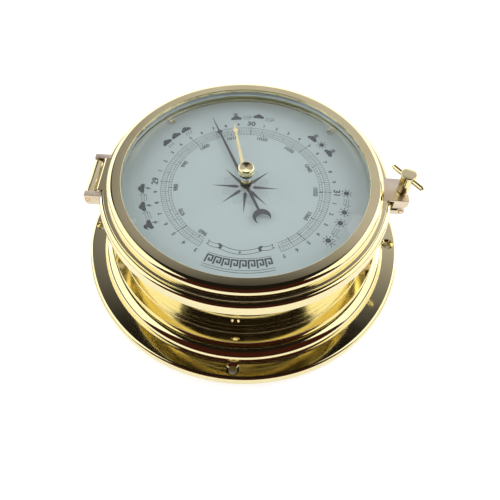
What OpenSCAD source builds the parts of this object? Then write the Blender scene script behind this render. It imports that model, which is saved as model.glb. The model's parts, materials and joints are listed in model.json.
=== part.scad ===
// Marine barometer in a porthole case: flanged drum, hinged bezel with bevelled glass and a swing
// bolt clasp, dial, set hand, and an aneroid movement hung from the back of the dial.
// Millimetres. Origin at the centre of the flange's back face, +Z out through the glass,
// +Y towards 12 o'clock, hinge on -X and clasp on +X.

/* [Case] */
// Diameter of the mounting flange
base_d = 178; // [176:1:200]
// Thickness of the mounting flange
base_t = 5.5; // [5:0.5:8]
// Radius on the front edge of the flange
base_edge_r = 2; // [0.5:0.5:3]
// Width of the flange outside the base moulding
flange_w = 9; // [9:0.5:11]
// Height of the base moulding above the flange
moulding_h = 6.7; // [6.5:0.1:9]
// Width of the base moulding outside the plinth band
moulding_w = 5.8; // [4:0.2:6.4]
// Height of the plinth band
plinth_h = 4.6; // [3:0.2:7]
// Width of the small step at the foot of the waist
step_w = 2.2; // [1:0.1:3.6]
// Height of the small step at the foot of the waist
step_h = 1.2; // [0.6:0.1:3]
// Width of the plinth band outside the waist
plinth_w = 6.8; // [5:0.2:8]
// Height of the waist between the plinth and the rim
waist_h = 30.1; // [28:0.5:40]
// Thickness of the drum's wall at the waist
drum_wall = 3.5; // [3:0.1:4.5]
// Width of the rim outside the waist
rim_w = 7.3; // [6.8:0.1:8]
// Height of the rim's upright face
rim_h = 4.3; // [3.5:0.1:6]
// Radius of the rim's rounded shoulder
rim_round = 2.4; // [1:0.1:3]
// Thickness of the drum's wall round the edge of the dial
mouth_wall = 0.9; // [0.8:0.1:1.5]
// Depth of the mouth, from the top of the rim to the dial's ledge
mouth_depth = 8.8; // [8:0.1:10]
// Width of the ledge that carries the dial
ledge_w = 8; // [7:0.5:10]
// Thickness of the ledge
ledge_t = 3; // [2:0.2:4]
// Width of the lip round the opening in the back
rear_lip = 7.9; // [6.5:0.1:10]
// Diameter of the air vent in the waist
vent_d = 2.6; // [1.5:0.1:4]
// Diameter of the vent's countersink
vent_sink_d = 4.4; // [4.2:0.1:6]

/* [Mounting holes] */
// Number of screw holes in the flange
hole_count = 4; // [3:1:8]
// Distance of the screw holes from the flange's edge
hole_in = 5.5; // [4.5:0.1:5.8]
// Diameter of a screw hole
hole_d = 4.5; // [3:0.1:5]
// Diameter of a hole's countersink
hole_sink_d = 6.8; // [5.5:0.1:8]

/* [Back cover] */
// How far the back cover laps over the lip of the opening in the back
cover_lap = 7; // [6:0.5:8]
// Thickness of the back cover
cover_t = 1.5; // [1:0.1:2.5]
// How far the back cover lies below the flange's back face
cover_sunk = 0.6; // [0.3:0.1:1]
// Number of screws in the back cover
cover_screws = 4; // [3:1:8]
// Diameter of the screwdriver hole in the back cover
cover_hole_d = 9; // [6:0.5:12]

/* [Bezel] */
// Clearance between the bezel's spigot and the mouth
spigot_gap = 0.5; // [0.5:0.05:0.8]
// Depth of the bezel's spigot in the mouth
spigot_h = 2.6; // [1.5:0.1:3.5]
// Thickness of the spigot's wall
spigot_wall = 0.8; // [0.7:0.1:1.5]
// Thickness of the bezel's side outside the spigot
side_w = 4.1; // [3.6:0.1:5]
// Width of the bezel's flat foot
foot_w = 2; // [1.5:0.1:2.5]
// Thickness of the bezel's flat foot
foot_t = 0.9; // [0.6:0.1:1.5]
// Height of the bezel from its foot's underside to its lip
bezel_h = 5.7; // [5.2:0.1:8]
// Radius of the bezel's rounded shoulder
bezel_round = 3.4; // [2:0.1:3.6]
// How far the bezel's lip covers the edge of the glass
lip_cover = 2.6; // [2:0.1:4]
// Thickness of the bezel's lip
lip_t = 1.6; // [1.2:0.1:2]
// Gap between the bezel's foot and the top of the rim
seat_gap = 0.1; // [0.05:0.05:0.3]

/* [Glass] */
// Thickness of the glass
glass_t = 3.6; // [2.5:0.1:4]
// How far the middle of the glass lies below the lip's top
glass_sunk = 2.4; // [2:0.1:3]
// Width of the bevel ground round the glass
bevel_w = 7.1; // [5:0.1:9]
// Depth of the bevel at the glass's edge
bevel_h = 1.1; // [0.6:0.1:1.8]
// Gap round the edge of the glass
glass_gap = 0.3; // [0.1:0.05:0.5]
// Width of the ring that holds the glass in from behind
keeper_w = 1.4; // [1:0.1:3]
// Thickness of the ring that holds the glass in from behind
keeper_t = 1.7; // [1:0.1:2]

/* [Hinge] */
// Distance of the hinge's middle from 9 o'clock towards 6 o'clock
hinge_shift = 3.1; // [0:0.1:4]
// Radius of the hinge pin
hinge_pin_r = 1.1; // [0.8:0.1:1.2]
// Radius of the bezel's hinge barrel
barrel_r = 2.4; // [2.2:0.1:2.6]
// Length of the bezel's hinge barrel
barrel_l = 21.6; // [18:0.2:24]
// Gap between the barrel and each hinge lug
barrel_gap = 0.3; // [0.2:0.05:0.5]
// Width of each hinge lug along the pin
lug_w = 3.3; // [2.6:0.1:5]
// Height of each hinge lug
lug_h = 6.9; // [6:0.1:8]
// Distance of the hinge axis outside the rim
hinge_out = 3.6; // [3.6:0.1:4]
// Depth of the hinge axis below the top of the rim
hinge_down = 3.1; // [2.8:0.1:3.2]
// How far each hinge lug stands out past the hinge axis
lug_out = 1.7; // [1.7:0.1:3]

/* [Clasp] */
// Distance of the clasp's middle from 3 o'clock towards 6 o'clock
clasp_shift = 1.4; // [0:0.1:3]
// Distance of the swing bolt's axis outside the rim
clasp_out = 5.3; // [5.2:0.1:6]
// Depth of the swing bolt's pivot below the top of the rim
clasp_down = 7.4; // [7.2:0.1:9]
// Radius of the swing bolt's pivot pin
clasp_pin_r = 1; // [0.8:0.05:1.1]
// Radius of the bracket's ears round the pivot pin
ear_r = 2.2; // [2:0.1:2.3]
// Width of the bracket and its ears
bracket_w = 14.4; // [12:0.2:18]
// Width of the slot between the bracket's ears
ear_slot = 5.6; // [5.4:0.1:7]
// Width of the swing bolt's eye
eye_w = 5; // [4:0.1:5]
// Radius of the swing bolt's eye
eye_r = 2.3; // [2.2:0.1:2.4]
// Radius of the swing bolt's shank
shank_r = 2.1; // [1.5:0.1:2.2]
// Width of the bezel's fork
fork_w = 15; // [14:0.2:20]
// Width of the slot in the fork
fork_slot = 5.2; // [5.1:0.1:7]
// Depth of the fork's prongs
prong_h = 5.8; // [5:0.1:5.8]
// Distance from the swing bolt's axis to the outer end of the prongs
prong_out = 2.5; // [2.5:0.1:4]
// Radius of the clamp nut's head
nut_r = 4; // [3.6:0.1:4.5]
// Radius of the clamp nut's foot
nut_foot_r = 3.1; // [2.9:0.1:3.6]
// Height of the clamp nut
nut_h = 11.7; // [10:0.1:13]
// Gap between the slackened clamp nut and the fork
nut_gap = 0.4; // [0.4:0.05:0.8]
// Radius of the clamp nut's cross bar
bar_r = 1.3; // [0.8:0.1:1.5]
// Length of the clamp nut's cross bar
bar_l = 20.6; // [16:0.2:21]
// Distance of the cross bar below the clamp nut's top
bar_down = 2.6; // [2.4:0.1:4]
// Angle of the cross bar from +X
bar_angle = -48; // [-90:1:90]

/* [Dial] */
// Thickness of the dial plate
dial_t = 1.2; // [0.8:0.1:1.5]
// Gap round the edge of the dial plate
dial_gap = 0.3; // [0.2:0.05:0.6]
// Number of screws through the dial plate
dial_screws_n = 4; // [3:1:8]
// Distance of the dial screws from the edge of the dial
dial_screw_in = 3.2; // [2.5:0.1:5]
// Radius of a dial screw's head
dial_head_r = 1.9; // [1.4:0.1:2.2]
// Radius of the small screws' threads
thread_r = 0.9; // [0.6:0.05:1.1]

/* [Pointer] */
// Angle of the pointer from 12 o'clock, anticlockwise
pointer_rest = 24.8; // [0:0.1:90]
// Distance of the pointer's tip from the edge of the dial
pointer_in = 12.3; // [8:0.1:20]
// Distance of the pointer's diamond from its tip
pointer_mark_in = 12.9; // [8:0.1:18]
// Distance from the hub to the centre of the crescent tail
tail_l = 22.5; // [15:0.1:26]
// Outer radius of the crescent tail
crescent_r = 4.6; // [3:0.1:6]
// Thickness of the hands
hand_t = 0.5; // [0.3:0.05:0.8]
// Radius of the pointer's arbor
arbor_r = 1; // [0.7:0.05:1.3]
// Height of the pointer above the dial
pointer_up = 2; // [1.8:0.1:2.6]

/* [Set hand] */
// Angle of the set hand from 12 o'clock, anticlockwise
set_rest = 13; // [0:0.1:90]
// Distance of the set hand's tip from the edge of the dial
set_in = 23.7; // [16:0.1:34]
// Distance of the set hand's diamond from its tip
set_mark_in = 6; // [4:0.1:10]
// Radius of the set hand's spindle
spindle_r = 1.54; // [1:0.02:2]
// Outer radius of the bush in the glass
bush_r = 2.6; // [2.4:0.1:3]
// Radius of the knob
knob_r = 4; // [3.6:0.1:5]
// Height of the knob above its washer
knob_h = 4.4; // [3:0.1:6]
// Thickness of the washer under the knob
washer_t = 0.9; // [0.4:0.1:1.5]

/* [Movement] */
// Radius of the movement's plates
plate_r = 35; // [34:0.5:38]
// Thickness of the movement's plates
plate_t = 1.2; // [1:0.1:1.6]
// Distance of the movement's pillars from the centre
pillar_at = 31; // [30:0.5:32]
// Radius of the movement's pillars
pillar_r = 2.4; // [2:0.1:2.8]
// Height of the dial's feet
foot_h = 4; // [3.5:0.1:5]
// Space between the two plates that hold the gears
gear_space = 9; // [8.5:0.1:10]
// Space between the rear plate and the base plate
frame_space = 17.6; // [17:0.1:20]
// Radius of the aneroid capsule
capsule_r = 22; // [18:0.5:25]
// Thickness of the aneroid capsule
capsule_t = 8.6; // [7:0.1:9]
// Radius of the pressure adjusting screw
adjuster_r = 2; // [1.5:0.1:2.5]
// Radius of the adjusting screw's head
adjuster_head_r = 4; // [3:0.1:4.4]
// Number of teeth on the pinion
pinion_teeth = 12; // [12:1:14]
// Number of teeth that the sector would have as a full wheel
sector_teeth = 96; // [90:1:100]
// Size of the teeth, as pitch diameter over number of teeth
tooth_module = 0.4; // [0.38:0.01:0.41]
// Length of the sector's tail from its arbor to its pin
tail_arm = 8; // [7:0.1:8.4]
// Length of the rocker's crank
crank_l = 4; // [3:0.1:4.5]
// Radius of the rocker's shaft
rocker_r = 1; // [0.7:0.1:1.3]
// Number of turns in the hairspring
hairspring_turns = 4; // [3:1:6]
// Distance between two turns of the hairspring
hairspring_gap = 1.3; // [1:0.1:1.5]
// Depth that the movement's screws go into its pillars
screw_bite = 3; // [2.5:0.1:3.2]
// Width of the hangers that carry the rocker
hanger_w = 6; // [5:0.1:7]

/* [Hidden] */
$fn = 96;

// Radial clearance of a shaft that turns in its hole
run = 0.06;
// Overlap of cutting shapes past the face that they cut
cut = 1;

// Radii of the case
moulding_r = base_d / 2 - flange_w;
plinth_r = moulding_r - moulding_w;
waist_r = plinth_r - plinth_w;
step_r = waist_r + step_w;
rim_r = waist_r + rim_w;
mouth_r = waist_r - mouth_wall;
drum_in_r = waist_r - drum_wall;
ledge_r = waist_r - 2.2;
rear_r = drum_in_r - rear_lip;
cover_r = rear_r + cover_lap;
hole_at = base_d / 2 - hole_in;

// Heights of the case
moulding_top = base_t + moulding_h;
plinth_top = moulding_top + plinth_h;
rim_z = plinth_top + waist_h;
rim_top = rim_z + rim_h + rim_round;
ledge_z = rim_top - mouth_depth;
ledge_low = ledge_z - ledge_t;
step_top = plinth_top + step_h;
cover_seat = cover_sunk + cover_t;
cover_screw_at = (cover_r + rear_r) / 2;
cover_gap = 0.2;

// Bezel and glass
spigot_r = mouth_r - spigot_gap;
bore_r = spigot_r - spigot_wall;
side_r = spigot_r + side_w;
foot_r = side_r + foot_w;
lip_r = bore_r - lip_cover;
foot_z = rim_top + seat_gap;
foot_top = foot_z + foot_t;
lip_top = foot_z + bezel_h;
lip_z = lip_top - lip_t;
glass_r = bore_r - glass_gap;
glass_top = lip_top - glass_sunk;
glass_z = glass_top - glass_t;
bevel_r = glass_r - bevel_w;

// Distance from the axis of a flat milled across the bezel's side, for a piece of width w
function side_flat(w) = sqrt(side_r * side_r - w * w / 4) - 0.1;

// Hinge
hinge_x = -(rim_r + hinge_out);
hinge_z = rim_top - hinge_down;
hinge_y = -hinge_shift;
lug_y = barrel_l / 2 + barrel_gap;
lug_in = -(rim_r - 3.6);
lug_z = rim_top - lug_h;
lug_bevel = 1;
leaf_flat = side_flat(barrel_l + 2 * hinge_shift);

// Clasp
clasp_x = rim_r + clasp_out;
clasp_y = -clasp_shift;
clasp_z = rim_top - clasp_down;
fork_flat = side_flat(fork_w + 2 * clasp_shift);
prong_z = foot_top - prong_h;
prong_in = rim_r + 0.4;
nut_z = foot_top + nut_gap;
nut_top = nut_z + nut_h;
bar_z = nut_top - bar_down;
shank_top = bar_z - bar_r - 0.4;
bracket_in = waist_r - 0.5;

// Dial and hands
dial_z = ledge_z;
dial_top = dial_z + dial_t;
dial_r = mouth_r - dial_gap;
dial_screw_at = dial_r - dial_screw_in;
pointer_l = dial_r - pointer_in;
pointer_mark = pointer_l - pointer_mark_in;
set_l = dial_r - set_in;
set_mark = set_l - set_mark_in;
pointer_z = dial_top + pointer_up;
set_z = glass_z - 2.2;
knob_z = glass_top + 0.35 + washer_t;
hub_r = 3.1;
set_hub_r = 2.6;

// Movement
front_top = dial_z - foot_h;
front_z = front_top - plate_t;
rear_top = front_z - gear_space;
rear_z = rear_top - plate_t;
base_top = rear_z - frame_space;
base_z = base_top - plate_t;
foot_disc_t = 1.2;
capsule_z = base_top + foot_disc_t;
capsule_top = capsule_z + capsule_t;
rocker_z = rear_z - 4;
rocker_y = crank_l;
pinion_pitch_r = pinion_teeth * tooth_module / 2;
sector_pitch_r = sector_teeth * tooth_module / 2;
gear_centres = pinion_pitch_r + sector_pitch_r;
gear_ratio = sector_teeth / pinion_teeth;
sector_y = rocker_y;
sector_x = -sqrt(gear_centres * gear_centres - sector_y * sector_y);
sector_aim = atan2(-sector_y, -sector_x);
sector_rest = -pointer_rest / gear_ratio;
gear_z = rear_top + 4.4;
gear_t = 1;
fork_low = tail_arm - 0.8;
fork_end = tail_arm + 0.6;
rocker_rest = atan(sin(sector_rest));
tail_x = sector_x - tail_arm * cos(sector_rest);
tail_y = sector_y - tail_arm * sin(sector_rest);
spring_z = gear_z + 3;
collet_r = 2.2;
spring_in = collet_r + 0.35;
spring_out = spring_in + hairspring_gap * hairspring_turns;
spring_half = 0.12;
stud_r = 0.8;
foot_nut_t = 1.4;
foot_angle = 30;
arm_t = 1.6;

// Colours
brass = [0.86, 0.70, 0.38];
pale_brass = [0.80, 0.72, 0.50];
dial_colour = [0.70, 0.75, 0.76];
black = [0.05, 0.06, 0.07];
steel = [0.62, 0.63, 0.65];
nickel = [0.72, 0.72, 0.70];
clear = [0.75, 0.86, 0.88, 0.35];
pale_rubber = [0.62, 0.66, 0.67];

// A ring of outer radius ro and inner radius ri, from z0 up to z1
module ring(ro, ri, z0, z1) {
    translate([0, 0, z0])
        difference() {
            cylinder(r = ro, h = z1 - z0);
            translate([0, 0, -cut]) cylinder(r = ri, h = z1 - z0 + 2 * cut);
        }
}

// A round bar along Z from z0 to z1
module rod(r, z0, z1) {
    translate([0, 0, z0]) cylinder(r = r, h = z1 - z0);
}

// A round bar along Y from y0 to y1, through the point x, z
module rod_y(r, x, z, y0, y1) {
    translate([x, y1, z]) rotate([90, 0, 0]) cylinder(r = r, h = y1 - y0);
}

// A flat shape drawn in X and Z, given depth from y0 to y1
module slab_y(y0, y1) {
    translate([0, y1, 0]) rotate([90, 0, 0]) linear_extrude(y1 - y0) children();
}

// An upright rectangle of the revolved profiles, from r0 to r1 and z0 to z1
module band(r0, r1, z0, z1) {
    translate([r0, z0]) square([r1 - r0, z1 - z0]);
}

// A quarter disc of the revolved profiles, of radius r about the point x, z
module quarter(x, z, r) {
    intersection() {
        translate([x, z]) circle(r = r);
        band(x, x + r, z, z + r);
    }
}

// Copies of the children in a circle of radius at, the first at angle start
module around(n, at, start = 0) {
    for (i = [0 : n - 1]) rotate([0, 0, start + 360 * i / n]) translate([at, 0, 0]) children();
}

// A screw seen from its head: head radius hr and height hh standing on z, shank r down to z - l,
// with a driving slot across the head
module screw(hr, hh, r, l, z) {
    difference() {
        union() {
            rod(hr, z, z + hh);
            rod(r, z - l, z + cut / 2);
        }
        translate([-hr - cut, -hr / 8, z + hh * 0.55]) cube([2 * (hr + cut), hr / 4, hh]);
    }
}

// The flange with its rounded front edge, the seat for the back cover and the screw holes
module case_flange() {
    sink = (hole_sink_d - hole_d) / 2;
    color(brass)
    difference() {
        rotate_extrude($fn = 180)
            union() {
                band(rear_r, base_d / 2 - base_edge_r, 0, base_t);
                band(rear_r, base_d / 2, 0, base_t - base_edge_r);
                quarter(base_d / 2 - base_edge_r, base_t - base_edge_r, base_edge_r);
            }
        rod(cover_r + cover_gap, -cut, cover_seat);
        around(hole_count, hole_at, -90) {
            rod(hole_d / 2, -cut, base_t + cut);
            translate([0, 0, base_t - sink])
                cylinder(r1 = hole_d / 2, r2 = hole_sink_d / 2 + cut, h = sink + cut);
        }
        around(cover_screws, cover_screw_at, 45) rod(thread_r, cover_seat - cut, base_t - 0.4);
    }
}

// The base moulding, the plinth band and the small step, turned from one ring
module case_plinth() {
    color(brass)
    rotate_extrude($fn = 180)
        union() {
            band(drum_in_r, moulding_r, base_t, moulding_top - moulding_w);
            quarter(plinth_r, moulding_top - moulding_w, moulding_w);
            band(drum_in_r, plinth_r, base_t, plinth_top);
            band(drum_in_r, step_r, base_t, step_top);
        }
}

// The drum's tube, opened out for the dial's ledge and the mouth
module case_drum() {
    color(brass)
    difference() {
        ring(waist_r, drum_in_r, step_top, rim_z);
        rod(ledge_r, ledge_low, rim_z + cut);
        rod(mouth_r, ledge_z, rim_z + cut);
        vent_cut();
        bracket_seat();
    }
}

// The ring that the dial lies on
module dial_ledge() {
    color(brass)
    difference() {
        ring(ledge_r, mouth_r - ledge_w, ledge_low, ledge_z);
        around(dial_screws_n, dial_screw_at, 45) rod(thread_r, ledge_low - cut, ledge_z + cut);
    }
}

// The rim round the mouth, with a rounded shoulder and the seats of the hinge lugs
module case_rim() {
    color(brass)
    difference() {
        rotate_extrude($fn = 180)
            union() {
                band(mouth_r, rim_r, rim_z, rim_z + rim_h);
                quarter(rim_r - rim_round, rim_z + rim_h, rim_round);
                band(mouth_r, rim_r - rim_round, rim_z, rim_top);
            }
        for (side = [-1, 1]) lug_seat(side);
    }
}

// Countersunk air vent through the waist at 6 o'clock
module vent_cut() {
    sink = (vent_sink_d - vent_d) / 2;
    translate([0, -waist_r, plinth_top + waist_h / 3]) rotate([-90, 0, 0]) {
        translate([0, 0, -cut]) cylinder(r = vent_d / 2, h = drum_wall + 2 * cut);
        translate([0, 0, -cut]) cylinder(r1 = vent_sink_d / 2 + cut, r2 = vent_d / 2, h = sink + cut);
    }
}

// Near end along Y of the hinge lug on one side, -1 towards 6 o'clock and 1 towards 12 o'clock
function lug_start(side) = hinge_y + (side > 0 ? lug_y : -lug_y - lug_w);

// Flat seat milled in the rim for one hinge lug
module lug_seat(side) {
    translate([lug_in - rim_r, lug_start(side), rim_z - cut]) cube([rim_r, lug_w, rim_top]);
}

// Flat seat milled in the waist for the clasp bracket
module bracket_seat() {
    translate([bracket_in, clasp_y - bracket_w / 2, clasp_z - ear_r]) cube([rim_r, bracket_w, 2 * ear_r]);
}

module back_cover() {
    color(pale_brass)
    difference() {
        rod(cover_r, cover_sunk, cover_seat);
        rod(cover_hole_d / 2, cover_sunk - cut, cover_seat + cut);
        around(cover_screws, cover_screw_at, 45) rod(thread_r + 0.1, cover_sunk - cut, cover_seat + cut);
    }
}

module back_cover_screws() {
    color(brass)
    around(cover_screws, cover_screw_at, 45)
        translate([0, 0, cover_sunk]) mirror([0, 0, 1])
            screw(1.8, cover_sunk - 0.1, thread_r, cover_t + base_t - cover_seat - 0.6, 0);
}

// Outline of a hinge lug in X and Z
module lug_outline() {
    x0 = hinge_x - lug_out;
    polygon([[lug_in, lug_z], [lug_in, rim_top], [x0, rim_top], [x0, lug_z + lug_bevel],
        [x0 + lug_bevel, lug_z]]);
}

module hinge_lugs() {
    color(brass)
    for (side = [-1, 1])
        difference() {
            slab_y(lug_start(side), lug_start(side) + lug_w) lug_outline();
            rod_y(hinge_pin_r, hinge_x, hinge_z, lug_start(side) - cut, lug_start(side) + lug_w + cut);
        }
}

module hinge_pin() {
    color(pale_brass) rod_y(hinge_pin_r, hinge_x, hinge_z, lug_start(-1), lug_start(1) + lug_w);
}

// The leaf that joins the hinge barrel to the bezel's foot, hollowed on top and arched over the
// rim's shoulder
module leaf_outline() {
    xr = -(rim_r - rim_round);
    polygon([[-leaf_flat, foot_z], [xr, foot_z], [xr - 1.4, foot_z - 0.2], [xr - 2.3, foot_z - 0.95],
        [xr - 2.8, hinge_z + 0.6], [hinge_x + 1.4, hinge_z + 0.4],
        [hinge_x + barrel_r * 0.5, hinge_z + barrel_r * 0.83], [xr - 3.6, hinge_z + barrel_r * 0.77],
        [xr - 2.6, foot_z - 0.3], [xr - 1.6, foot_top - 0.2], [xr - 1, foot_top], [-leaf_flat, foot_top]]);
}

module hinge_barrel() {
    color(brass)
    difference() {
        union() {
            slab_y(hinge_y - barrel_l / 2, hinge_y + barrel_l / 2) leaf_outline();
            rod_y(barrel_r, hinge_x, hinge_z, hinge_y - barrel_l / 2, hinge_y + barrel_l / 2);
        }
        rod_y(hinge_pin_r + run, hinge_x, hinge_z, -2 * barrel_l, 2 * barrel_l);
    }
}

module bezel_ring() {
    color(brass)
    difference() {
        rotate_extrude($fn = 180)
            difference() {
                union() {
                    band(bore_r - cut, foot_r, foot_z, foot_top);
                    band(lip_r, side_r, foot_z, lip_top - bezel_round);
                    quarter(side_r - bezel_round, lip_top - bezel_round, bezel_round);
                    band(lip_r, side_r - bezel_round, foot_z, lip_top);
                    band(bore_r, spigot_r, foot_z - spigot_h, foot_top);
                }
                band(0, bore_r, foot_z - cut, lip_z);
            }
        translate([-2 * foot_r, hinge_y - barrel_l / 2, foot_z - cut])
            cube([2 * foot_r - leaf_flat, barrel_l, foot_t + cut]);
        translate([fork_flat, clasp_y - fork_w / 2, foot_z - cut]) cube([foot_r, fork_w, foot_t + cut]);
    }
}

// Outline of a prong of the clasp fork in X and Z, with its low outer corner rounded
module prong_outline() {
    x1 = clasp_x + prong_out;
    low_r = prong_out + 0.6;
    union() {
        translate([prong_in, prong_z]) square([x1 - low_r - prong_in, prong_h]);
        intersection() {
            translate([x1 - low_r, prong_z + low_r]) circle(r = low_r);
            translate([x1 - low_r, prong_z]) square([low_r, low_r]);
        }
        translate([x1 - low_r, prong_z + low_r]) square([low_r, prong_h - low_r]);
    }
}

module clasp_fork() {
    color(brass)
    translate([0, clasp_y, 0])
    difference() {
        union() {
            slab_y(-fork_w / 2, fork_w / 2) prong_outline();
            translate([fork_flat, -fork_w / 2, foot_z])
                cube([prong_in - fork_flat + cut, fork_w, foot_top - foot_z]);
        }
        translate([clasp_x, -fork_slot / 2, prong_z - cut]) cube([2 * prong_out, fork_slot, prong_h + 2 * cut]);
        translate([clasp_x, 0, 0]) rod(fork_slot / 2, prong_z - cut, foot_top + cut);
    }
}

// Two ears on an arm that passes under the rim
module clasp_bracket() {
    arm_top = min(rim_z, clasp_z + ear_r);
    color(brass)
    translate([0, clasp_y, 0])
    difference() {
        union() {
            translate([bracket_in, -bracket_w / 2, clasp_z - ear_r])
                cube([clasp_x - bracket_in, bracket_w, arm_top - clasp_z + ear_r]);
            rod_y(ear_r, clasp_x, clasp_z, -bracket_w / 2, bracket_w / 2);
        }
        rod_y(clasp_pin_r, clasp_x, clasp_z, -bracket_w, bracket_w);
        translate([clasp_x - eye_r - 0.8, -ear_slot / 2, clasp_z - ear_r - cut])
            cube([2 * ear_r + 2 * cut + eye_r, ear_slot, 2 * ear_r + 2 * cut]);
    }
}

module clasp_pin() {
    end_y = bracket_w / 2 + 0.3;
    color(pale_brass) translate([0, clasp_y, 0]) rod_y(clasp_pin_r, clasp_x, clasp_z, -end_y, end_y);
}

module swing_bolt() {
    color(brass)
    translate([0, clasp_y, 0])
    difference() {
        union() {
            rod_y(eye_r, clasp_x, clasp_z, -eye_w / 2, eye_w / 2);
            translate([clasp_x, 0, 0]) rod(shank_r, clasp_z + eye_r / 2, shank_top);
        }
        rod_y(clasp_pin_r + run, clasp_x, clasp_z, -eye_w, eye_w);
    }
}

// A tapered body under a round head, with a cross hole for the bar
module clamp_nut() {
    head_t = 1.2;
    color(brass)
    translate([clasp_x, clasp_y, 0])
    difference() {
        union() {
            translate([0, 0, nut_z]) cylinder(r1 = nut_foot_r, r2 = nut_r - 0.5, h = nut_h - head_t);
            rod(nut_r, nut_top - head_t, nut_top);
        }
        rod(shank_r + run, nut_z - cut, shank_top + 0.2);
        translate([0, 0, bar_z]) rotate([90, 0, bar_angle - 90])
            translate([0, 0, -2 * nut_r]) cylinder(r = bar_r, h = 4 * nut_r);
    }
}

module cross_bar() {
    color(brass)
    translate([clasp_x, clasp_y, bar_z]) rotate([0, 90, bar_angle]) {
        translate([0, 0, bar_r - bar_l / 2]) cylinder(r = bar_r, h = bar_l - 2 * bar_r);
        translate([0, 0, bar_r - bar_l / 2]) sphere(r = bar_r);
        translate([0, 0, bar_l / 2 - bar_r]) sphere(r = bar_r);
    }
}

module glass() {
    color(clear)
    difference() {
        rotate_extrude($fn = 180)
            polygon([[0, glass_z], [glass_r, glass_z], [glass_r, glass_top - bevel_h],
                [bevel_r, glass_top], [0, glass_top]]);
        rod(bush_r, glass_z - cut, glass_top + cut);
    }
}

// Height of the glass's bevelled face at radius r
function bevel_z(r) = glass_top - bevel_h * (r - bevel_r) / bevel_w;

module glass_gasket() {
    r0 = lip_r + 0.2;
    r1 = bore_r - 0.1;
    color(pale_rubber)
    rotate_extrude($fn = 180)
        polygon([[r0, bevel_z(r0)], [r1, bevel_z(r1)], [r1, lip_z], [r0, lip_z]]);
}

module glass_keeper_ring() {
    color(brass) ring(bore_r, bore_r - keeper_w, glass_z - keeper_t, glass_z);
}

module set_hand_bush() {
    color(brass) ring(bush_r, spindle_r + run, glass_z - 0.3, glass_top + 0.3);
}

module knob_washer() {
    color(black) ring(knob_r - 0.7, spindle_r, glass_top + 0.35, knob_z);
}

module set_hand_knob() {
    neck = 1.2;
    color(brass)
    difference() {
        union() {
            translate([0, 0, knob_z]) cylinder(r1 = knob_r - 0.9, r2 = knob_r, h = neck);
            rod(knob_r, knob_z + neck, knob_z + knob_h - 0.5);
            translate([0, 0, knob_z + knob_h - 0.5]) cylinder(r1 = knob_r, r2 = knob_r - 0.5, h = 0.5);
        }
        rod(spindle_r, knob_z - cut, knob_z + knob_h / 2);
        around(24, knob_r + 0.25, 0) rod(0.45, knob_z + neck + 0.3, knob_z + knob_h - 0.7);
    }
}

module set_hand_spindle() {
    color(brass) rod(spindle_r, set_z - 0.4, knob_z + knob_h / 2);
}

// A tapered hand along +Y: half widths at the hub and tip, and a diamond at distance mark
module hand_shape(l, mark, w0, w1, dw, dl) {
    polygon([[-w0, 0], [-w1 * 1.6, mark], [0, l], [w1 * 1.6, mark], [w0, 0]]);
    polygon([[-dw, mark], [0, mark + dl], [dw, mark], [0, mark - dl]]);
}

module set_hand() {
    color(brass)
    rotate([0, 0, set_rest]) translate([0, 0, set_z])
    difference() {
        union() {
            linear_extrude(hand_t) hand_shape(set_l, set_mark, 1.1, 0.35, 1.7, 2.4);
            rod(set_hub_r, -0.2, hand_t + 0.6);
        }
        rod(spindle_r, -cut, hand_t + 2 * cut);
    }
}

// The pointer's tail, from its hub into the thick of the crescent
module tail_shape() {
    end_y = crescent_r - tail_l - 0.5;
    polygon([[-0.9, 0], [0.9, 0], [0.6, end_y], [-0.6, end_y]]);
}

module pointer() {
    color(black)
    rotate([0, 0, pointer_rest]) translate([0, 0, pointer_z])
    difference() {
        union() {
            linear_extrude(hand_t) hand_shape(pointer_l, pointer_mark, 0.85, 0.32, 1.8, 1.6);
            rod(hub_r - 0.6, 0, hand_t);
            linear_extrude(hand_t) tail_shape();
            translate([0, -tail_l, 0])
                difference() {
                    rod(crescent_r, 0, hand_t);
                    translate([0, -crescent_r * 0.42, 0]) rod(crescent_r * 0.78, -cut, hand_t + cut);
                }
        }
        rod(arbor_r, -cut, hand_t + cut);
    }
}

module pointer_hub() {
    color(black) ring(hub_r, arbor_r, pointer_z + hand_t, pointer_z + hand_t + 0.9);
}

// Half the angle that a tooth of a wheel with n teeth takes at radius r
function tooth_half(n, r, slack) =
    let (pitch_r = n * tooth_module / 2,
        base_r = pitch_r * cos(20),
        at = acos(min(1, base_r / max(r, base_r))))
    90 / n - slack / pitch_r * 180 / PI + (tan(20) * 180 / PI - 20) - (tan(at) * 180 / PI - at);

// Outline of one tooth about the angle a, root to root
function tooth_points(n, a, top, root, slack) =
    let (radii = [for (i = [0 : 5]) root + (top - root) * i / 5],
        up = [for (r = radii) [r, a - tooth_half(n, r, slack)]],
        down = [for (i = [5 : -1 : 0]) [radii[i], a + tooth_half(n, radii[i], slack)]])
    [for (p = concat(up, down)) p[0] * [cos(p[1]), sin(p[1])]];

module pinion_shape() {
    top = pinion_pitch_r + 0.7 * tooth_module;
    root = pinion_pitch_r - 1.15 * tooth_module;
    polygon([for (i = [0 : pinion_teeth - 1])
        each tooth_points(pinion_teeth, (i + 0.5) * 360 / pinion_teeth, top, root, 0.05)]);
}

module pointer_arbor() {
    color(steel) {
        rod(arbor_r, rear_z + 0.1, pointer_z + hand_t + 1.2);
        rotate([0, 0, sector_aim + 180 + pointer_rest])
            translate([0, 0, gear_z - 0.7]) linear_extrude(gear_t + 1.4) pinion_shape();
    }
}

module hairspring_collet() {
    color(brass) ring(collet_r, arbor_r, spring_z - 0.2, spring_z + 1.2);
}

// A point on one face of the hairspring after a turn of angle t, side millimetres from its middle
function spring_point(t, side) = (spring_in + hairspring_gap * t / 360 + side) * [cos(t), sin(t)];

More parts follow.
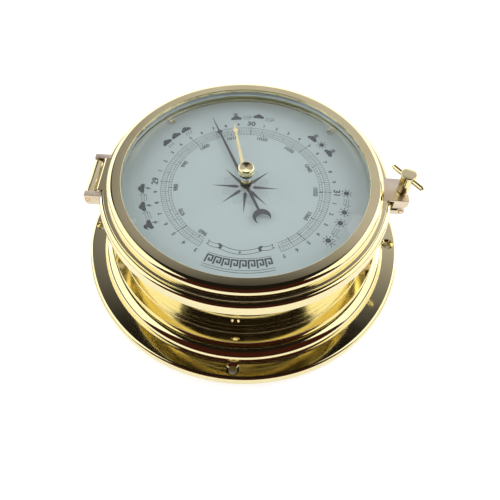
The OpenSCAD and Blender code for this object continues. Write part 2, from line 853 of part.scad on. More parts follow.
module hairspring() {
    steps = hairspring_turns * 24;
    turn = hairspring_turns * 360;
    color(steel)
    translate([0, 0, spring_z]) linear_extrude(1)
        polygon(concat(
            [for (i = [0 : steps]) spring_point(turn * i / steps, -spring_half)],
            [for (i = [steps : -1 : 0]) spring_point(turn * i / steps, spring_half)]));
}

module hairspring_stud() {
    color(brass) translate([spring_out + spring_half + stud_r, 0, 0]) rod(stud_r, spring_z - 0.2, front_z);
}

// Holes on the circle of the pillars
module pillar_holes(r, z0, z1) {
    around(3, pillar_at, 90) rod(r, z0 - cut, z1 + cut);
}

module front_plate() {
    color(pale_brass)
    difference() {
        rod(plate_r, front_z, front_top);
        rod(arbor_r + run, front_z - cut, front_top + cut);
        translate([sector_x, sector_y, 0]) rod(arbor_r + run, front_z - cut, front_top + cut);
        pillar_holes(thread_r + 0.1, front_z, front_top);
        around(3, pillar_at, foot_angle) rod(thread_r + 0.1, front_z - cut, front_top + cut);
    }
}

module rear_plate() {
    color(pale_brass)
    difference() {
        rod(plate_r, rear_z, rear_top);
        rod(arbor_r + run, rear_z - cut, rear_top + cut);
        translate([sector_x, sector_y, 0]) rod(arbor_r + run, rear_z - cut, rear_top + cut);
        pillar_holes(thread_r, rear_z, rear_top);
        translate([sector_x - tail_arm - 2, rocker_y - 5, rear_z - cut]) cube([4, 10, plate_t + 2 * cut]);
    }
}

module base_plate() {
    color(pale_brass)
    difference() {
        rod(plate_r, base_z, base_top);
        rod(adjuster_r + run, base_z - cut, base_top + cut);
        pillar_holes(thread_r + 0.1, base_z, base_top);
    }
}

module dial_plate() {
    color(dial_colour)
    difference() {
        rod(dial_r, dial_z, dial_top);
        rod(arbor_r + 0.5, dial_z - cut, dial_top + cut);
        around(dial_screws_n, dial_screw_at, 45) rod(thread_r + 0.1, dial_z - cut, dial_top + cut);
    }
}

module dial_screws() {
    color(brass)
    around(dial_screws_n, dial_screw_at, 45) screw(dial_head_r, 0.8, thread_r, dial_t + ledge_t, dial_top);
}

module dial_feet() {
    color(brass)
    around(3, pillar_at, foot_angle) {
        rod(pillar_r, front_top, dial_z);
        rod(thread_r, front_z - foot_nut_t - 0.4, front_top + cut);
    }
}

module dial_foot_nuts() {
    color(steel)
    around(3, pillar_at, foot_angle)
        difference() {
            translate([0, 0, front_z - foot_nut_t]) cylinder(r = 2.3, h = foot_nut_t, $fn = 6);
            rod(thread_r, front_z - 2 * foot_nut_t, front_top);
        }
}

module plate_pillars() {
    color(brass)
    around(3, pillar_at, 90)
        difference() {
            union() {
                rod(pillar_r - 0.2, rear_top, front_z);
                rod(thread_r, rear_z - screw_bite, rear_top + cut);
            }
            rod(thread_r, front_z - screw_bite - 0.4, front_z + cut);
        }
}

module plate_screws() {
    color(steel) around(3, pillar_at, 90) screw(1.9, 1, thread_r, plate_t + screw_bite, front_top);
}

module frame_pillars() {
    color(brass)
    around(3, pillar_at, 90)
        difference() {
            rod(pillar_r, base_top, rear_z);
            rod(thread_r, rear_z - screw_bite - 0.2, rear_z + cut);
            rod(thread_r, base_top - cut, base_top + screw_bite + 0.6);
        }
}

module frame_screws() {
    color(steel)
    around(3, pillar_at, 90)
        translate([0, 0, base_z]) mirror([0, 0, 1]) screw(1.9, 1, thread_r, plate_t + screw_bite, 0);
}

module sector_gear() {
    reach = 7;
    pitch = 360 / sector_teeth;
    top = sector_pitch_r + 0.7 * tooth_module;
    root = sector_pitch_r - 1.15 * tooth_module;
    inner = sector_pitch_r - 3;
    edge = (reach + 0.5) * pitch;
    color(brass)
    translate([sector_x, sector_y, gear_z]) rotate([0, 0, sector_aim + sector_rest])
    difference() {
        union() {
            linear_extrude(gear_t)
                polygon(concat(
                    [for (i = [-reach : reach]) each tooth_points(sector_teeth, i * pitch, top, root, 0.03)],
                    [for (i = [6 : -1 : -6]) inner * [cos(edge * i / 6), sin(edge * i / 6)]]));
            for (s = [-1, 1])
                linear_extrude(gear_t)
                    polygon([[0, s * 1.2], inner * [cos(edge), s * sin(edge)] + [0.6, 0],
                        inner * [cos(edge * 0.8), s * sin(edge * 0.8)] + [0.6, 0], [1, 0]]);
            rod(3, 0, gear_t);
            rotate([0, 0, -sector_aim]) linear_extrude(gear_t)
                polygon([[0, -2], [-tail_arm, -1.4], [-tail_arm - 1.4, 0], [-tail_arm, 1.4], [0, 2]]);
        }
        rod(arbor_r, -cut, gear_t + cut);
    }
}

module sector_arbor() {
    color(steel) translate([sector_x, sector_y, 0]) rod(arbor_r, rear_z + 0.1, front_top - 0.1);
}

module sector_pin() {
    color(steel) translate([tail_x, tail_y, 0]) rod(0.5, rocker_z + tail_arm - 0.6, gear_z);
}

module rocker_hangers() {
    hanger_low = 2.4;
    hanger_t = 1.6;
    color(brass)
    for (x = [hanger_x(0), hanger_x(1)])
        difference() {
            translate([x, rocker_y - hanger_w / 2, rocker_z - hanger_low])
                cube([hanger_t, hanger_w, rear_z - rocker_z + hanger_low]);
            translate([x - cut, rocker_y, rocker_z]) rotate([0, 90, 0])
                cylinder(r = rocker_r + run, h = hanger_t + 2 * cut);
        }
}

// Near face of each of the two hangers that carry the rocker shaft
function hanger_x(i) = i == 0 ? sector_x - tail_arm - 4 : 5;

module rocker_shaft() {
    color(steel)
    translate([hanger_x(0) - 0.4, rocker_y, rocker_z]) rotate([0, 90, 0])
        cylinder(r = rocker_r, h = hanger_x(1) - hanger_x(0) + 2.4);
}

module rocker_arm() {
    color(brass)
    translate([sector_x - tail_arm - arm_t / 2, rocker_y, rocker_z]) rotate([rocker_rest, 0, 0])
    difference() {
        union() {
            translate([0, -1, 0]) cube([arm_t, 2, fork_low]);
            translate([0, -1.8, fork_low - 0.8]) cube([arm_t, 3.6, fork_end - fork_low + 0.8]);
            rotate([0, 90, 0]) cylinder(r = 2.2, h = arm_t);
        }
        translate([-cut, 0, 0]) rotate([0, 90, 0]) cylinder(r = rocker_r, h = arm_t + 2 * cut);
        translate([-cut, -0.8, fork_low]) cube([arm_t + 2 * cut, 1.6, fork_end]);
    }
}

module rocker_crank() {
    color(brass)
    translate([0, rocker_y, rocker_z]) rotate([rocker_rest, 0, 0])
    difference() {
        union() {
            translate([0.9, -crank_l, -1]) cube([1.2, crank_l, 2]);
            translate([0.9, 0, 0]) rotate([0, 90, 0]) cylinder(r = 2, h = 1.2);
            translate([-1.4, -crank_l, 0]) rotate([0, 90, 0]) cylinder(r = 0.6, h = 3);
        }
        translate([-cut, 0, 0]) rotate([0, 90, 0]) cylinder(r = rocker_r, h = 4);
    }
}

module capsule_link() {
    pin_y = rocker_y - crank_l * cos(rocker_rest);
    pin_z = rocker_z - crank_l * sin(rocker_rest);
    color(steel)
    difference() {
        union() {
            rod(1.6, capsule_top, pin_z - 1.7);
            translate([-0.6, -2, pin_z - 1.9]) cube([1.2, 4, 3.7]);
        }
        translate([-cut, pin_y - 1, pin_z - 0.72]) cube([3, 2, 1.44]);
    }
}

// Half thickness of the capsule at radius r: a boss, rings of corrugation and a thin rim
function capsule_half(r) =
    r < 4 ? capsule_t / 2
    : r > capsule_r - 2 ? 0.35
    : capsule_t / 2 - 1 - 0.5 * cos((r - 4) / (capsule_r - 6) * 360 * 4);

module aneroid_capsule() {
    steps = 48;
    mid = capsule_z + capsule_t / 2;
    color(nickel)
    rotate_extrude()
        polygon(concat([[0, mid - capsule_t / 2], [3.99, mid - capsule_t / 2]],
            [for (i = [0 : steps]) let (r = 4 + (capsule_r - 4) * i / steps) [r, mid - capsule_half(r)]],
            [for (i = [steps : -1 : 0]) let (r = 4 + (capsule_r - 4) * i / steps) [r, mid + capsule_half(r)]],
            [[3.99, mid + capsule_t / 2], [0, mid + capsule_t / 2]]));
}

module capsule_foot() {
    color(brass)
    difference() {
        rod(6, base_top, capsule_z);
        rod(adjuster_r + 0.2, base_top - cut, base_top + 0.8);
    }
}

module adjusting_screw() {
    color(steel)
    difference() {
        union() {
            rod(adjuster_r, base_z - 1.4, base_top + 0.7);
            rod(adjuster_head_r, base_z - 3, base_z - 0.6);
        }
        translate([-adjuster_head_r - cut, -0.5, base_z - 4]) cube([2 * (adjuster_head_r + cut), 1, 2]);
    }
}

case_flange();
case_plinth();
case_drum();
dial_ledge();
case_rim();
back_cover();
back_cover_screws();
hinge_lugs();
hinge_pin();
clasp_bracket();
clasp_pin();
swing_bolt();
clamp_nut();
cross_bar();
bezel_ring();
hinge_barrel();
clasp_fork();
glass();
glass_gasket();
glass_keeper_ring();
set_hand_bush();
set_hand_knob();
knob_washer();
set_hand_spindle();
set_hand();
dial_plate();
dial_screws();
dial_feet();
dial_foot_nuts();
pointer();
pointer_hub();
pointer_arbor();
hairspring_collet();
hairspring();
hairspring_stud();
front_plate();
plate_screws();
plate_pillars();
rear_plate();
frame_pillars();
base_plate();
frame_screws();
sector_gear();
sector_arbor();
sector_pin();
rocker_hangers();
rocker_shaft();
rocker_arm();
rocker_crank();
capsule_link();
aneroid_capsule();
capsule_foot();
adjusting_screw();
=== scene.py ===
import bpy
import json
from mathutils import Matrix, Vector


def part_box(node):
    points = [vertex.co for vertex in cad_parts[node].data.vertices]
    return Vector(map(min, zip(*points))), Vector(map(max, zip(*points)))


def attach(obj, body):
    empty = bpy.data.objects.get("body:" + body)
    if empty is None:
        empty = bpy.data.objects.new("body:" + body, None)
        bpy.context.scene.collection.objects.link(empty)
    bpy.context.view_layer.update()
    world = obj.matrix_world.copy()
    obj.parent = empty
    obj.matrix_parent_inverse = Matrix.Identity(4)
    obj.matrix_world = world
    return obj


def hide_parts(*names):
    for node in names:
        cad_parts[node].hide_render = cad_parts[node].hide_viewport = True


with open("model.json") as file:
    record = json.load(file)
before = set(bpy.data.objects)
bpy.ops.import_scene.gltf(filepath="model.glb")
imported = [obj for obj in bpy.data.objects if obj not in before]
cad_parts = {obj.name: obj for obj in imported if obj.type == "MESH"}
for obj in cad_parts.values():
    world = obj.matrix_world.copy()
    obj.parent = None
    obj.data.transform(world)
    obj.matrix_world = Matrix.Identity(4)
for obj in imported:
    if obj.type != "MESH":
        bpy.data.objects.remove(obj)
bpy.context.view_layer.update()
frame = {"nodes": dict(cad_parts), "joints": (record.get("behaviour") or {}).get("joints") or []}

"""Looks of a marine barometer in a polished brass porthole case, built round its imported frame.

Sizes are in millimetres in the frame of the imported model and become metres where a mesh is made.
Angles on the dial are degrees clockwise from 12 o'clock.
"""

import json
import logging
import math
from collections.abc import Iterable, Sequence
from dataclasses import dataclass, field
from enum import Enum
from functools import cache

import bmesh
import bpy
from mathutils import Matrix, Vector

LOG = logging.getLogger("barometer")
MM = 0.001
HINGE_GAP = 0.3          # between the bezel's barrel and each lug

Point2 = tuple[float, float]
Colour = tuple[float, float, float]
Outline = Sequence[tuple[float, ...]]
Socket = bpy.types.NodeSocket
Piece = bpy.types.Object


# Places in the frame


def box_mm(node: str) -> tuple[Vector, Vector]:
    """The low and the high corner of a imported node's box, in millimetres."""
    low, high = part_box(node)
    return low / MM, high / MM


def joint_mm(name: str) -> list[float]:
    """The place of a joint, in millimetres."""
    joint = next(j for j in frame["joints"] if j["name"] == name)
    return [v / MM for v in joint["pos_m"]]


# Shapes


@dataclass(frozen=True)
class Corner:
    """A corner of a turned outline: radius, height, rounding, and the finish of the stretch after it."""

    r: float
    z: float
    rounding: float = 0.0
    paint: int = 0


def rounded(outline: Outline) -> list[tuple[float, float, int]]:
    """Turns the corners of a closed outline into points, with an arc at each rounded corner.

    Args:
        outline: The outline's corners in order, each with the values of a Corner.

    Returns:
        Points as radius, height and finish number.
    """
    corners = [Corner(*values) for values in outline]
    points: list[tuple[float, float, int]] = []
    for i, corner in enumerate(corners):
        before, after = corners[i - 1], corners[(i + 1) % len(corners)]
        here = Vector((corner.r, corner.z))
        if corner.rounding <= 0:
            points.append((corner.r, corner.z, corner.paint))
            continue
        back = (Vector((before.r, before.z)) - here).normalized()
        ahead = (Vector((after.r, after.z)) - here).normalized()
        half = back.angle(ahead) / 2
        centre = here + (back + ahead).normalized() * corner.rounding / math.sin(half)
        first = here + back * corner.rounding / math.tan(half) - centre
        last = here + ahead * corner.rounding / math.tan(half) - centre
        steps = 14 if corner.rounding > 1 else 4
        sweep = first.angle_signed(last)
        for k in range(steps + 1):
            turned = Matrix.Rotation(-sweep * k / steps, 2) @ first + centre
            points.append((turned.x, turned.y, before.paint if k < steps / 2 else corner.paint))
    return points


def make_mesh(name: str, verts: Sequence[Sequence[float]], faces: Sequence[Sequence[int]]) -> Piece:
    """Makes an object from vertices in millimetres.

    Args:
        name: The piece's name.
        verts: Vertices in millimetres.
        faces: Faces as vertex numbers.

    Returns:
        The new object, linked to the scene.
    """
    mesh = bpy.data.meshes.new(name)
    mesh.from_pydata([tuple(c * MM for c in v) for v in verts], [], faces)
    mesh.validate()
    piece = bpy.data.objects.new(name, mesh)
    bpy.context.scene.collection.objects.link(piece)
    return piece


def turned(name: str, outline: Outline, segments: int = 288, centre: Point2 = (0.0, 0.0)) -> Piece:
    """Turns a closed outline round a vertical axis.

    Args:
        name: The piece's name.
        outline: The outline, anticlockwise in radius and height.
        segments: Steps round the axis.
        centre: Where the axis stands.

    Returns:
        The turned piece.
    """
    points = rounded(outline)
    verts: list[tuple[float, float, float]] = []
    first: list[int] = []
    for r, z, _ in points:
        first.append(len(verts))
        if r < 1e-6:
            verts.append((centre[0], centre[1], z))
            continue
        for s in range(segments):
            a = math.tau * s / segments
            verts.append((centre[0] + r * math.cos(a), centre[1] + r * math.sin(a), z))
    faces: list[tuple[int, ...]] = []
    paints: list[int] = []
    for i, (r, _, paint) in enumerate(points):
        j = (i + 1) % len(points)
        if r < 1e-6 and points[j][0] < 1e-6:
            continue
        for s in range(segments):
            t = (s + 1) % segments
            low = (first[i],) if r < 1e-6 else (first[i] + s, first[i] + t)
            high = (first[j],) if points[j][0] < 1e-6 else (first[j] + t, first[j] + s)
            faces.append(low + high)
            paints.append(paint)
    piece = make_mesh(name, verts, faces)
    piece.data.polygons.foreach_set("material_index", paints)
    return piece


def extruded(name: str, outline: Sequence[Point2], low: float, high: float, upright: bool = True) -> Piece:
    """Gives an outline depth.

    Args:
        name: The piece's name.
        outline: The outline, in X and Z if upright and else in X and Y.
        low: Where the depth begins, along Y if upright and else along Z.
        high: Where the depth ends.
        upright: Whether the outline stands upright.

    Returns:
        The solid piece.
    """
    n = len(outline)
    verts = [(u, d, v) if upright else (u, v, d) for d in (low, high) for u, v in outline]
    faces = [tuple(range(n)), tuple(range(2 * n - 1, n - 1, -1))]
    faces += [(i, (i + 1) % n, (i + 1) % n + n, i + n) for i in range(n)]
    return make_mesh(name, verts, faces)


def arc(centre: Point2, radius: float, start: float, end: float, steps: int = 12) -> list[Point2]:
    """Points along an arc, with angles in degrees anticlockwise from the first axis."""
    angles = [math.radians(start + (end - start) * k / steps) for k in range(steps + 1)]
    return [(centre[0] + radius * math.cos(a), centre[1] + radius * math.sin(a)) for a in angles]


def rod(name: str, radius: float, start: Vector, end: Vector, segments: int = 48) -> Piece:
    """A plain round bar between two points.

    Args:
        name: The piece's name.
        radius: Its radius.
        start: The middle of its first end.
        end: The middle of its other end.
        segments: Steps round it.

    Returns:
        The bar.
    """
    length = (end - start).length
    bar = turned(name, [(0, 0), (radius, 0), (radius, length), (0, length)], segments)
    turn = Vector((0, 0, 1)).rotation_difference(end - start).to_matrix().to_4x4()
    bar.data.transform(Matrix.Translation(start * MM) @ turn)
    return bar


def cross_rod(name: str, radius: float, at: Point2, near: float, far: float, segments: int = 48) -> Piece:
    """A round bar along Y at a place in X and Z, used for pins and for cutting bores."""
    return rod(name, radius, Vector((at[0], near, at[1])), Vector((at[0], far, at[1])), segments)


def block(name: str, low: Sequence[float], high: Sequence[float]) -> Piece:
    """A plain block between two corners, used for cutting slots."""
    outline = [(low[0], low[2]), (high[0], low[2]), (high[0], high[2]), (low[0], high[2])]
    return extruded(name, outline, low[1], high[1])


def settle(piece: Piece) -> None:
    """Makes the piece's modifiers part of its mesh.

    Args:
        piece: The piece, whose mesh is replaced.
    """
    bpy.context.view_layer.update()
    graph = bpy.context.evaluated_depsgraph_get()
    old = piece.data
    made = bpy.data.meshes.new_from_object(piece.evaluated_get(graph))
    piece.modifiers.clear()
    piece.data = made
    bpy.data.meshes.remove(old)


def combine(piece: Piece, others: Iterable[Piece], operation: str = "DIFFERENCE") -> None:
    """Cuts other shapes from a piece, or joins them to it, and removes them.

    Args:
        piece: The piece that is changed.
        others: The shapes that are used up.
        operation: DIFFERENCE or UNION.
    """
    used = list(others)
    outward(piece)
    for other in used:
        outward(other)
        step = piece.modifiers.new(operation.lower(), "BOOLEAN")
        step.operation = operation
        step.solver = "EXACT"
        step.object = other
    settle(piece)
    for other in used:
        bpy.data.objects.remove(other)


def outward(piece: Piece) -> None:
    """Turns every face of the piece outwards.

    Args:
        piece: The piece.
    """
    work = bmesh.new()
    work.from_mesh(piece.data)
    bmesh.ops.recalc_face_normals(work, faces=work.faces)
    work.to_mesh(piece.data)
    work.free()


def ease(piece: Piece, width: float, segments: int, sharp_over: float) -> bpy.types.BevelModifier:
    """Adds a bevel in millimetres to the edges that bend more than some degrees.

    Args:
        piece: The piece.
        width: Width of the bevel in millimetres.
        segments: Steps across the bevel.
        sharp_over: Edges that bend more than this many degrees are eased.

    Returns:
        The modifier, for further settings.
    """
    step = piece.modifiers.new("eased_edges", "BEVEL")
    step.width = width * MM
    step.segments = segments
    step.limit_method = "ANGLE"
    step.angle_limit = math.radians(sharp_over)
    return step


def smooth(piece: Piece, sharp_over: float = 30.0, edge: float = 0.0) -> None:
    """Shades a piece smoothly, with crisp or eased edges.

    Args:
        piece: The piece to shade.
        sharp_over: Edges that bend more than this many degrees stay crisp.
        edge: Width in millimetres that is eased off crisp edges, or 0.
    """
    outward(piece)
    piece.data.shade_smooth()
    piece.data.set_sharp_from_angle(angle=math.radians(sharp_over))
    if edge > 0:
        ease(piece, edge, 3, sharp_over).harden_normals = True
        settle(piece)
        piece.data.set_sharp_from_angle(angle=math.radians(sharp_over))
    flats = piece.modifiers.new("flat_faces", "WEIGHTED_NORMAL")
    flats.keep_sharp = True
    flats.weight = 60


def place(piece: Piece, body: str, finishes: Sequence["Finish"],
          stands_for: Sequence[str] = ()) -> Piece:
    """Finishes a piece and makes it ride on its body.

    Args:
        piece: The piece.
        body: The body that it moves with.
        finishes: Its finishes, in the order of its faces' finish numbers.
        stands_for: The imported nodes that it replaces.

    Returns:
        The piece.
    """
    piece.data.materials.clear()
    for finish in finishes:
        piece.data.materials.append(finish.material())
    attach(piece, body)
    if stands_for:
        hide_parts(*stands_for)
    LOG.info("%s rides on %s with %d faces", piece.name, body, len(piece.data.polygons))
    return piece


def dress(node: str, finish: "Finish", edge: float = 0.0) -> None:
    """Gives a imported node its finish, and eases its edges if asked.

    Args:
        node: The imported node.
        finish: Its finish.
        edge: Width in millimetres that is eased off its edges, or 0.
    """
    piece = frame["nodes"][node]
    piece.data.materials.clear()
    piece.data.materials.append(finish.material())
    if edge > 0:
        weld = piece.modifiers.new("joined_corners", "WELD")
        weld.merge_threshold = 1e-6
        ease(piece, edge, 2, 40)
        flats = piece.modifiers.new("flat_faces", "WEIGHTED_NORMAL")
        flats.keep_sharp = False
    LOG.info("%s keeps its packed shape", node)


# Finishes


class Nodes:
    """The nodes of a shader tree, with short calls to add and join them."""

    def __init__(self, tree: bpy.types.NodeTree) -> None:
        """Starts with an empty tree."""
        self.tree = tree
        self.tree.nodes.clear()

    def add(self, kind: str, values: dict[str | int, object] | None = None,
            **settings: object) -> bpy.types.Node:
        """Adds a node.

        Args:
            kind: The node's type.
            values: Input values, or sockets to join, by input name or number.
            settings: The node's own settings.

        Returns:
            The new node.
        """
        node = self.tree.nodes.new(kind)
        for key, value in settings.items():
            setattr(node, key, value)
        for key, value in (values or {}).items():
            self.feed(node, key, value)
        return node

    def feed(self, node: bpy.types.Node, key: str | int, value: object) -> None:
        """Sets an input, or joins a socket to it.

        Args:
            node: The node.
            key: The input's name or number.
            value: A value, a colour, or a socket to join.
        """
        if isinstance(value, Socket):
            self.tree.links.new(value, node.inputs[key])
        elif isinstance(value, tuple) and len(value) == 3 and node.inputs[key].type == "RGBA":
            node.inputs[key].default_value = (*value, 1.0)
        else:
            node.inputs[key].default_value = value

    def maths(self, operation: str, first: object, second: object) -> Socket:
        """Joins two values by arithmetic."""
        return self.add("ShaderNodeMath", {0: first, 1: second}, operation=operation).outputs[0]

    def blend(self, factor: Socket, first: object, second: object) -> Socket:
        """Mixes two colours by a factor."""
        return self.add("ShaderNodeMix", {0: factor, 6: first, 7: second}, data_type="RGBA").outputs[2]

    def ramp(self, value: Socket, start: float, end: float) -> Socket:
        """A soft step from 0 to 1 while a value goes from start to end."""
        return self.add("ShaderNodeMapRange", {0: value, 1: start, 2: end, 3: 0.0, 4: 1.0},
                        interpolation_type="SMOOTHSTEP").outputs[0]

    def seen(self, *more: str) -> Socket:
        """One for rays from the camera, also through glass, and for the named kinds of ray.

        Args:
            more: Further kinds of ray.

        Returns:
            A socket that is 1 for those rays and 0 for the others.
        """
        path = self.add("ShaderNodeLightPath")
        share = path.outputs["Is Camera Ray"]
        for kind in ("Is Transmission Ray", *more):
            share = self.maths("MAXIMUM", share, path.outputs[kind])
        return share


class Graph(Nodes):
    """A material with one surface shader."""

    def __init__(self, name: str) -> None:
        """Starts a material that holds one surface shader.

        Args:
            name: The material's name.
        """
        self.material = bpy.data.materials.new(name)
        self.material.use_nodes = True
        super().__init__(self.material.node_tree)
        self.output = self.tree.nodes.new("ShaderNodeOutputMaterial")
        self.shader = self.tree.nodes.new("ShaderNodeBsdfPrincipled")
        self.tree.links.new(self.shader.outputs[0], self.output.inputs["Surface"])

    def surface(self, values: dict[str, object]) -> None:
        """Sets or joins inputs of the surface shader."""
        for key, value in values.items():
            self.feed(self.shader, key, value)

    def spot(self) -> Socket:
        """The place on the piece, in its own frame."""
        return self.add("ShaderNodeTexCoord").outputs["Object"]

    def noise(self, scale: float, detail: float, stretch: Colour = (1.0, 1.0, 1.0)) -> Socket:
        """A noise over the piece, with scale in spots to the metre.

        Args:
            scale: Spots to the metre.
            detail: Octaves of finer spots.
            stretch: How much closer the spots lie along each axis.

        Returns:
            The noise.
        """
        mapped = self.add("ShaderNodeMapping", {"Vector": self.spot(), "Scale": stretch}).outputs[0]
        values = {"Vector": mapped, "Scale": scale, "Detail": detail}
        return self.add("ShaderNodeTexNoise", values).outputs["Fac"]

    def spread(self, value: Socket, low: float, high: float,
               start: float = 0.3, end: float = 0.7) -> Socket:
        """Maps a noise, which mostly lies between start and end, to low and high."""
        return self.add("ShaderNodeMapRange", {"Value": value, "From Min": start, "From Max": end,
                                               "To Min": low, "To Max": high}).outputs[0]

    def rings(self, pitch: float) -> Socket:
        """Fine turning marks: a noise that changes only with radius and height.

        Args:
            pitch: Width of a mark in millimetres.

        Returns:
            The noise.
        """
        split = self.add("ShaderNodeSeparateXYZ", {0: self.spot()})
        flat = self.add("ShaderNodeCombineXYZ", {0: split.outputs[0], 1: split.outputs[1]})
        radius = self.add("ShaderNodeVectorMath", {0: flat.outputs[0]}, operation="LENGTH").outputs["Value"]
        place_on = self.add("ShaderNodeCombineXYZ", {0: radius, 2: split.outputs[2]}).outputs[0]
        values = {"Vector": place_on, "Scale": 1 / (pitch * MM), "Detail": 2.0}
        return self.add("ShaderNodeTexNoise", values).outputs["Fac"]

    def bump(self, height: Socket, depth: float, under: Socket | None = None) -> Socket:
        """Raises the surface by a height map, with depth in millimetres.

        Args:
            height: The height map.
            depth: Its depth in millimetres.
            under: A bump that it is added to.

        Returns:
            The surface direction, for the shader.
        """
        values: dict[str | int, object] = {"Height": height, "Distance": depth * MM, "Strength": 1.0}
        if under is not None:
            values["Normal"] = under
        return self.add("ShaderNodeBump", values).outputs[0]


@dataclass(frozen=True)
class Metal:
    """A bare metal."""

    name: str
    colour: Colour
    worn: Colour
    roughness: float = 0.06
    marks: float = 0.0006
    pitch: float = 0.25

    def material(self) -> bpy.types.Material:
        """Builds the metal: slow tarnish, handling smears, turning marks and fine scratches.

        Returns:
            The new material.
        """
        g = Graph(self.name)
        tarnish = g.spread(g.noise(35.0, 4.0), 0.0, 1.0, 0.35, 0.75)
        smear = g.spread(g.noise(110.0, 5.0, (1.0, 1.0, 2.2)), self.roughness * 0.7, self.roughness * 1.7)
        scratch = g.noise(900.0, 2.0, (1.0, 7.0, 1.0))
        turned_marks = g.bump(g.rings(self.pitch), self.marks)
        surface = g.bump(scratch, self.marks * 0.6, under=turned_marks)
        g.surface({"Base Color": g.blend(tarnish, self.colour, self.worn), "Metallic": 1.0,
                   "Roughness": smear, "Normal": surface})
        return g.material


@dataclass(frozen=True)
class Paint:
    """A painted, printed or moulded surface."""

    name: str
    colour: Colour
    second: Colour
    roughness: float = 0.4
    grain: float = 400.0
    depth: float = 0.002
    coat: float = 0.0

    def material(self) -> bpy.types.Material:
        """Builds the paint: slight unevenness of colour, gloss and surface.

        Returns:
            The new material.
        """
        g = Graph(self.name)
        tone = g.spread(g.noise(self.grain / 8, 4.0), 0.0, 1.0)
        gloss = g.spread(g.noise(self.grain / 3, 3.0), self.roughness * 0.85, self.roughness * 1.15)
        g.surface({"Base Color": g.blend(tone, self.colour, self.second), "Roughness": gloss,
                   "Normal": g.bump(g.noise(self.grain * 6, 2.0), self.depth), "Coat Weight": self.coat})
        return g.material


@dataclass(frozen=True)
class ClearGlass:
    """Clear glass that lets the lamps' light through."""

    name: str
    tint: Colour = (0.975, 0.99, 0.985)
    index: float = 1.5

    def material(self) -> bpy.types.Material:
        """Builds the glass: refraction, a trace of smears, and clear shadows.

        Returns:
            The new material.
        """
        g = Graph(self.name)
        g.surface({"Base Color": self.tint, "Transmission Weight": 1.0, "IOR": self.index,
                   "Roughness": g.spread(g.noise(60.0, 5.0), 0.0, 0.012, 0.45, 0.8)})
        clear = g.add("ShaderNodeBsdfTransparent", {"Color": self.tint})
        shadow = g.add("ShaderNodeLightPath").outputs["Is Shadow Ray"]
        mix = g.add("ShaderNodeMixShader", {0: shadow, 1: g.shader.outputs[0], 2: clear.outputs[0]})
        g.tree.links.new(mix.outputs[0], g.output.inputs["Surface"])
        return g.material


class Finish(Enum):
    """Every finish on the barometer."""

    BRASS = Metal("polished_brass", (0.885, 0.795, 0.46), (0.85, 0.745, 0.40))
    SATIN_BRASS = Metal("satin_brass", (0.80, 0.69, 0.52), (0.74, 0.63, 0.46), 0.34, 0.0015, 0.4)
    PIN_BRASS = Metal("pin_brass", (0.84, 0.60, 0.36), (0.74, 0.48, 0.27), roughness=0.12)
    PLATE_BRASS = Metal("grained_brass", (0.80, 0.68, 0.42), (0.70, 0.56, 0.32), 0.24, 0.003, 0.5)
    GILT = Metal("gilt_hand", (0.93, 0.79, 0.45), (0.86, 0.69, 0.35), roughness=0.2)
    STEEL = Metal("bright_steel", (0.62, 0.62, 0.63), (0.50, 0.50, 0.52), roughness=0.2)
    BLUED = Metal("blued_steel", (0.10, 0.12, 0.22), (0.16, 0.13, 0.16), roughness=0.22)
    NICKEL = Metal("nickel_silver", (0.70, 0.69, 0.66), (0.58, 0.56, 0.52), 0.26, 0.002, 0.6)
    WALL = Paint("pale_inner_wall", (0.66, 0.73, 0.75), (0.63, 0.70, 0.72), 0.35, 300.0, 0.001, 0.3)
    DIAL = Paint("dial_enamel", (0.405, 0.475, 0.475), (0.395, 0.465, 0.465), 0.42, 500.0, 0.0015)
    INK = Paint("printed_ink", (0.018, 0.024, 0.032), (0.03, 0.036, 0.045), 0.5, 900.0, 0.001)
    FAINT_INK = Paint("faint_ink", (0.20, 0.24, 0.265), (0.235, 0.28, 0.30), 0.5, 900.0, 0.001)
    ROSE_RING = Paint("rose_ring", (0.50, 0.50, 0.53), (0.47, 0.47, 0.50), 0.45, 700.0, 0.001)
    BLACK = Paint("black_lacquer", (0.008, 0.010, 0.016), (0.014, 0.016, 0.022), 0.32, 500.0, 0.0015, 0.1)
    SEAL = Paint("rubber_seal", (0.56, 0.61, 0.62), (0.52, 0.57, 0.58), 0.6, 600.0, 0.004)
    GLASS = ClearGlass("bevelled_glass")

    @cache
    def material(self) -> bpy.types.Material:
        """The finish's material, which is built once."""
        return self.value.material()


# The case and its bezel


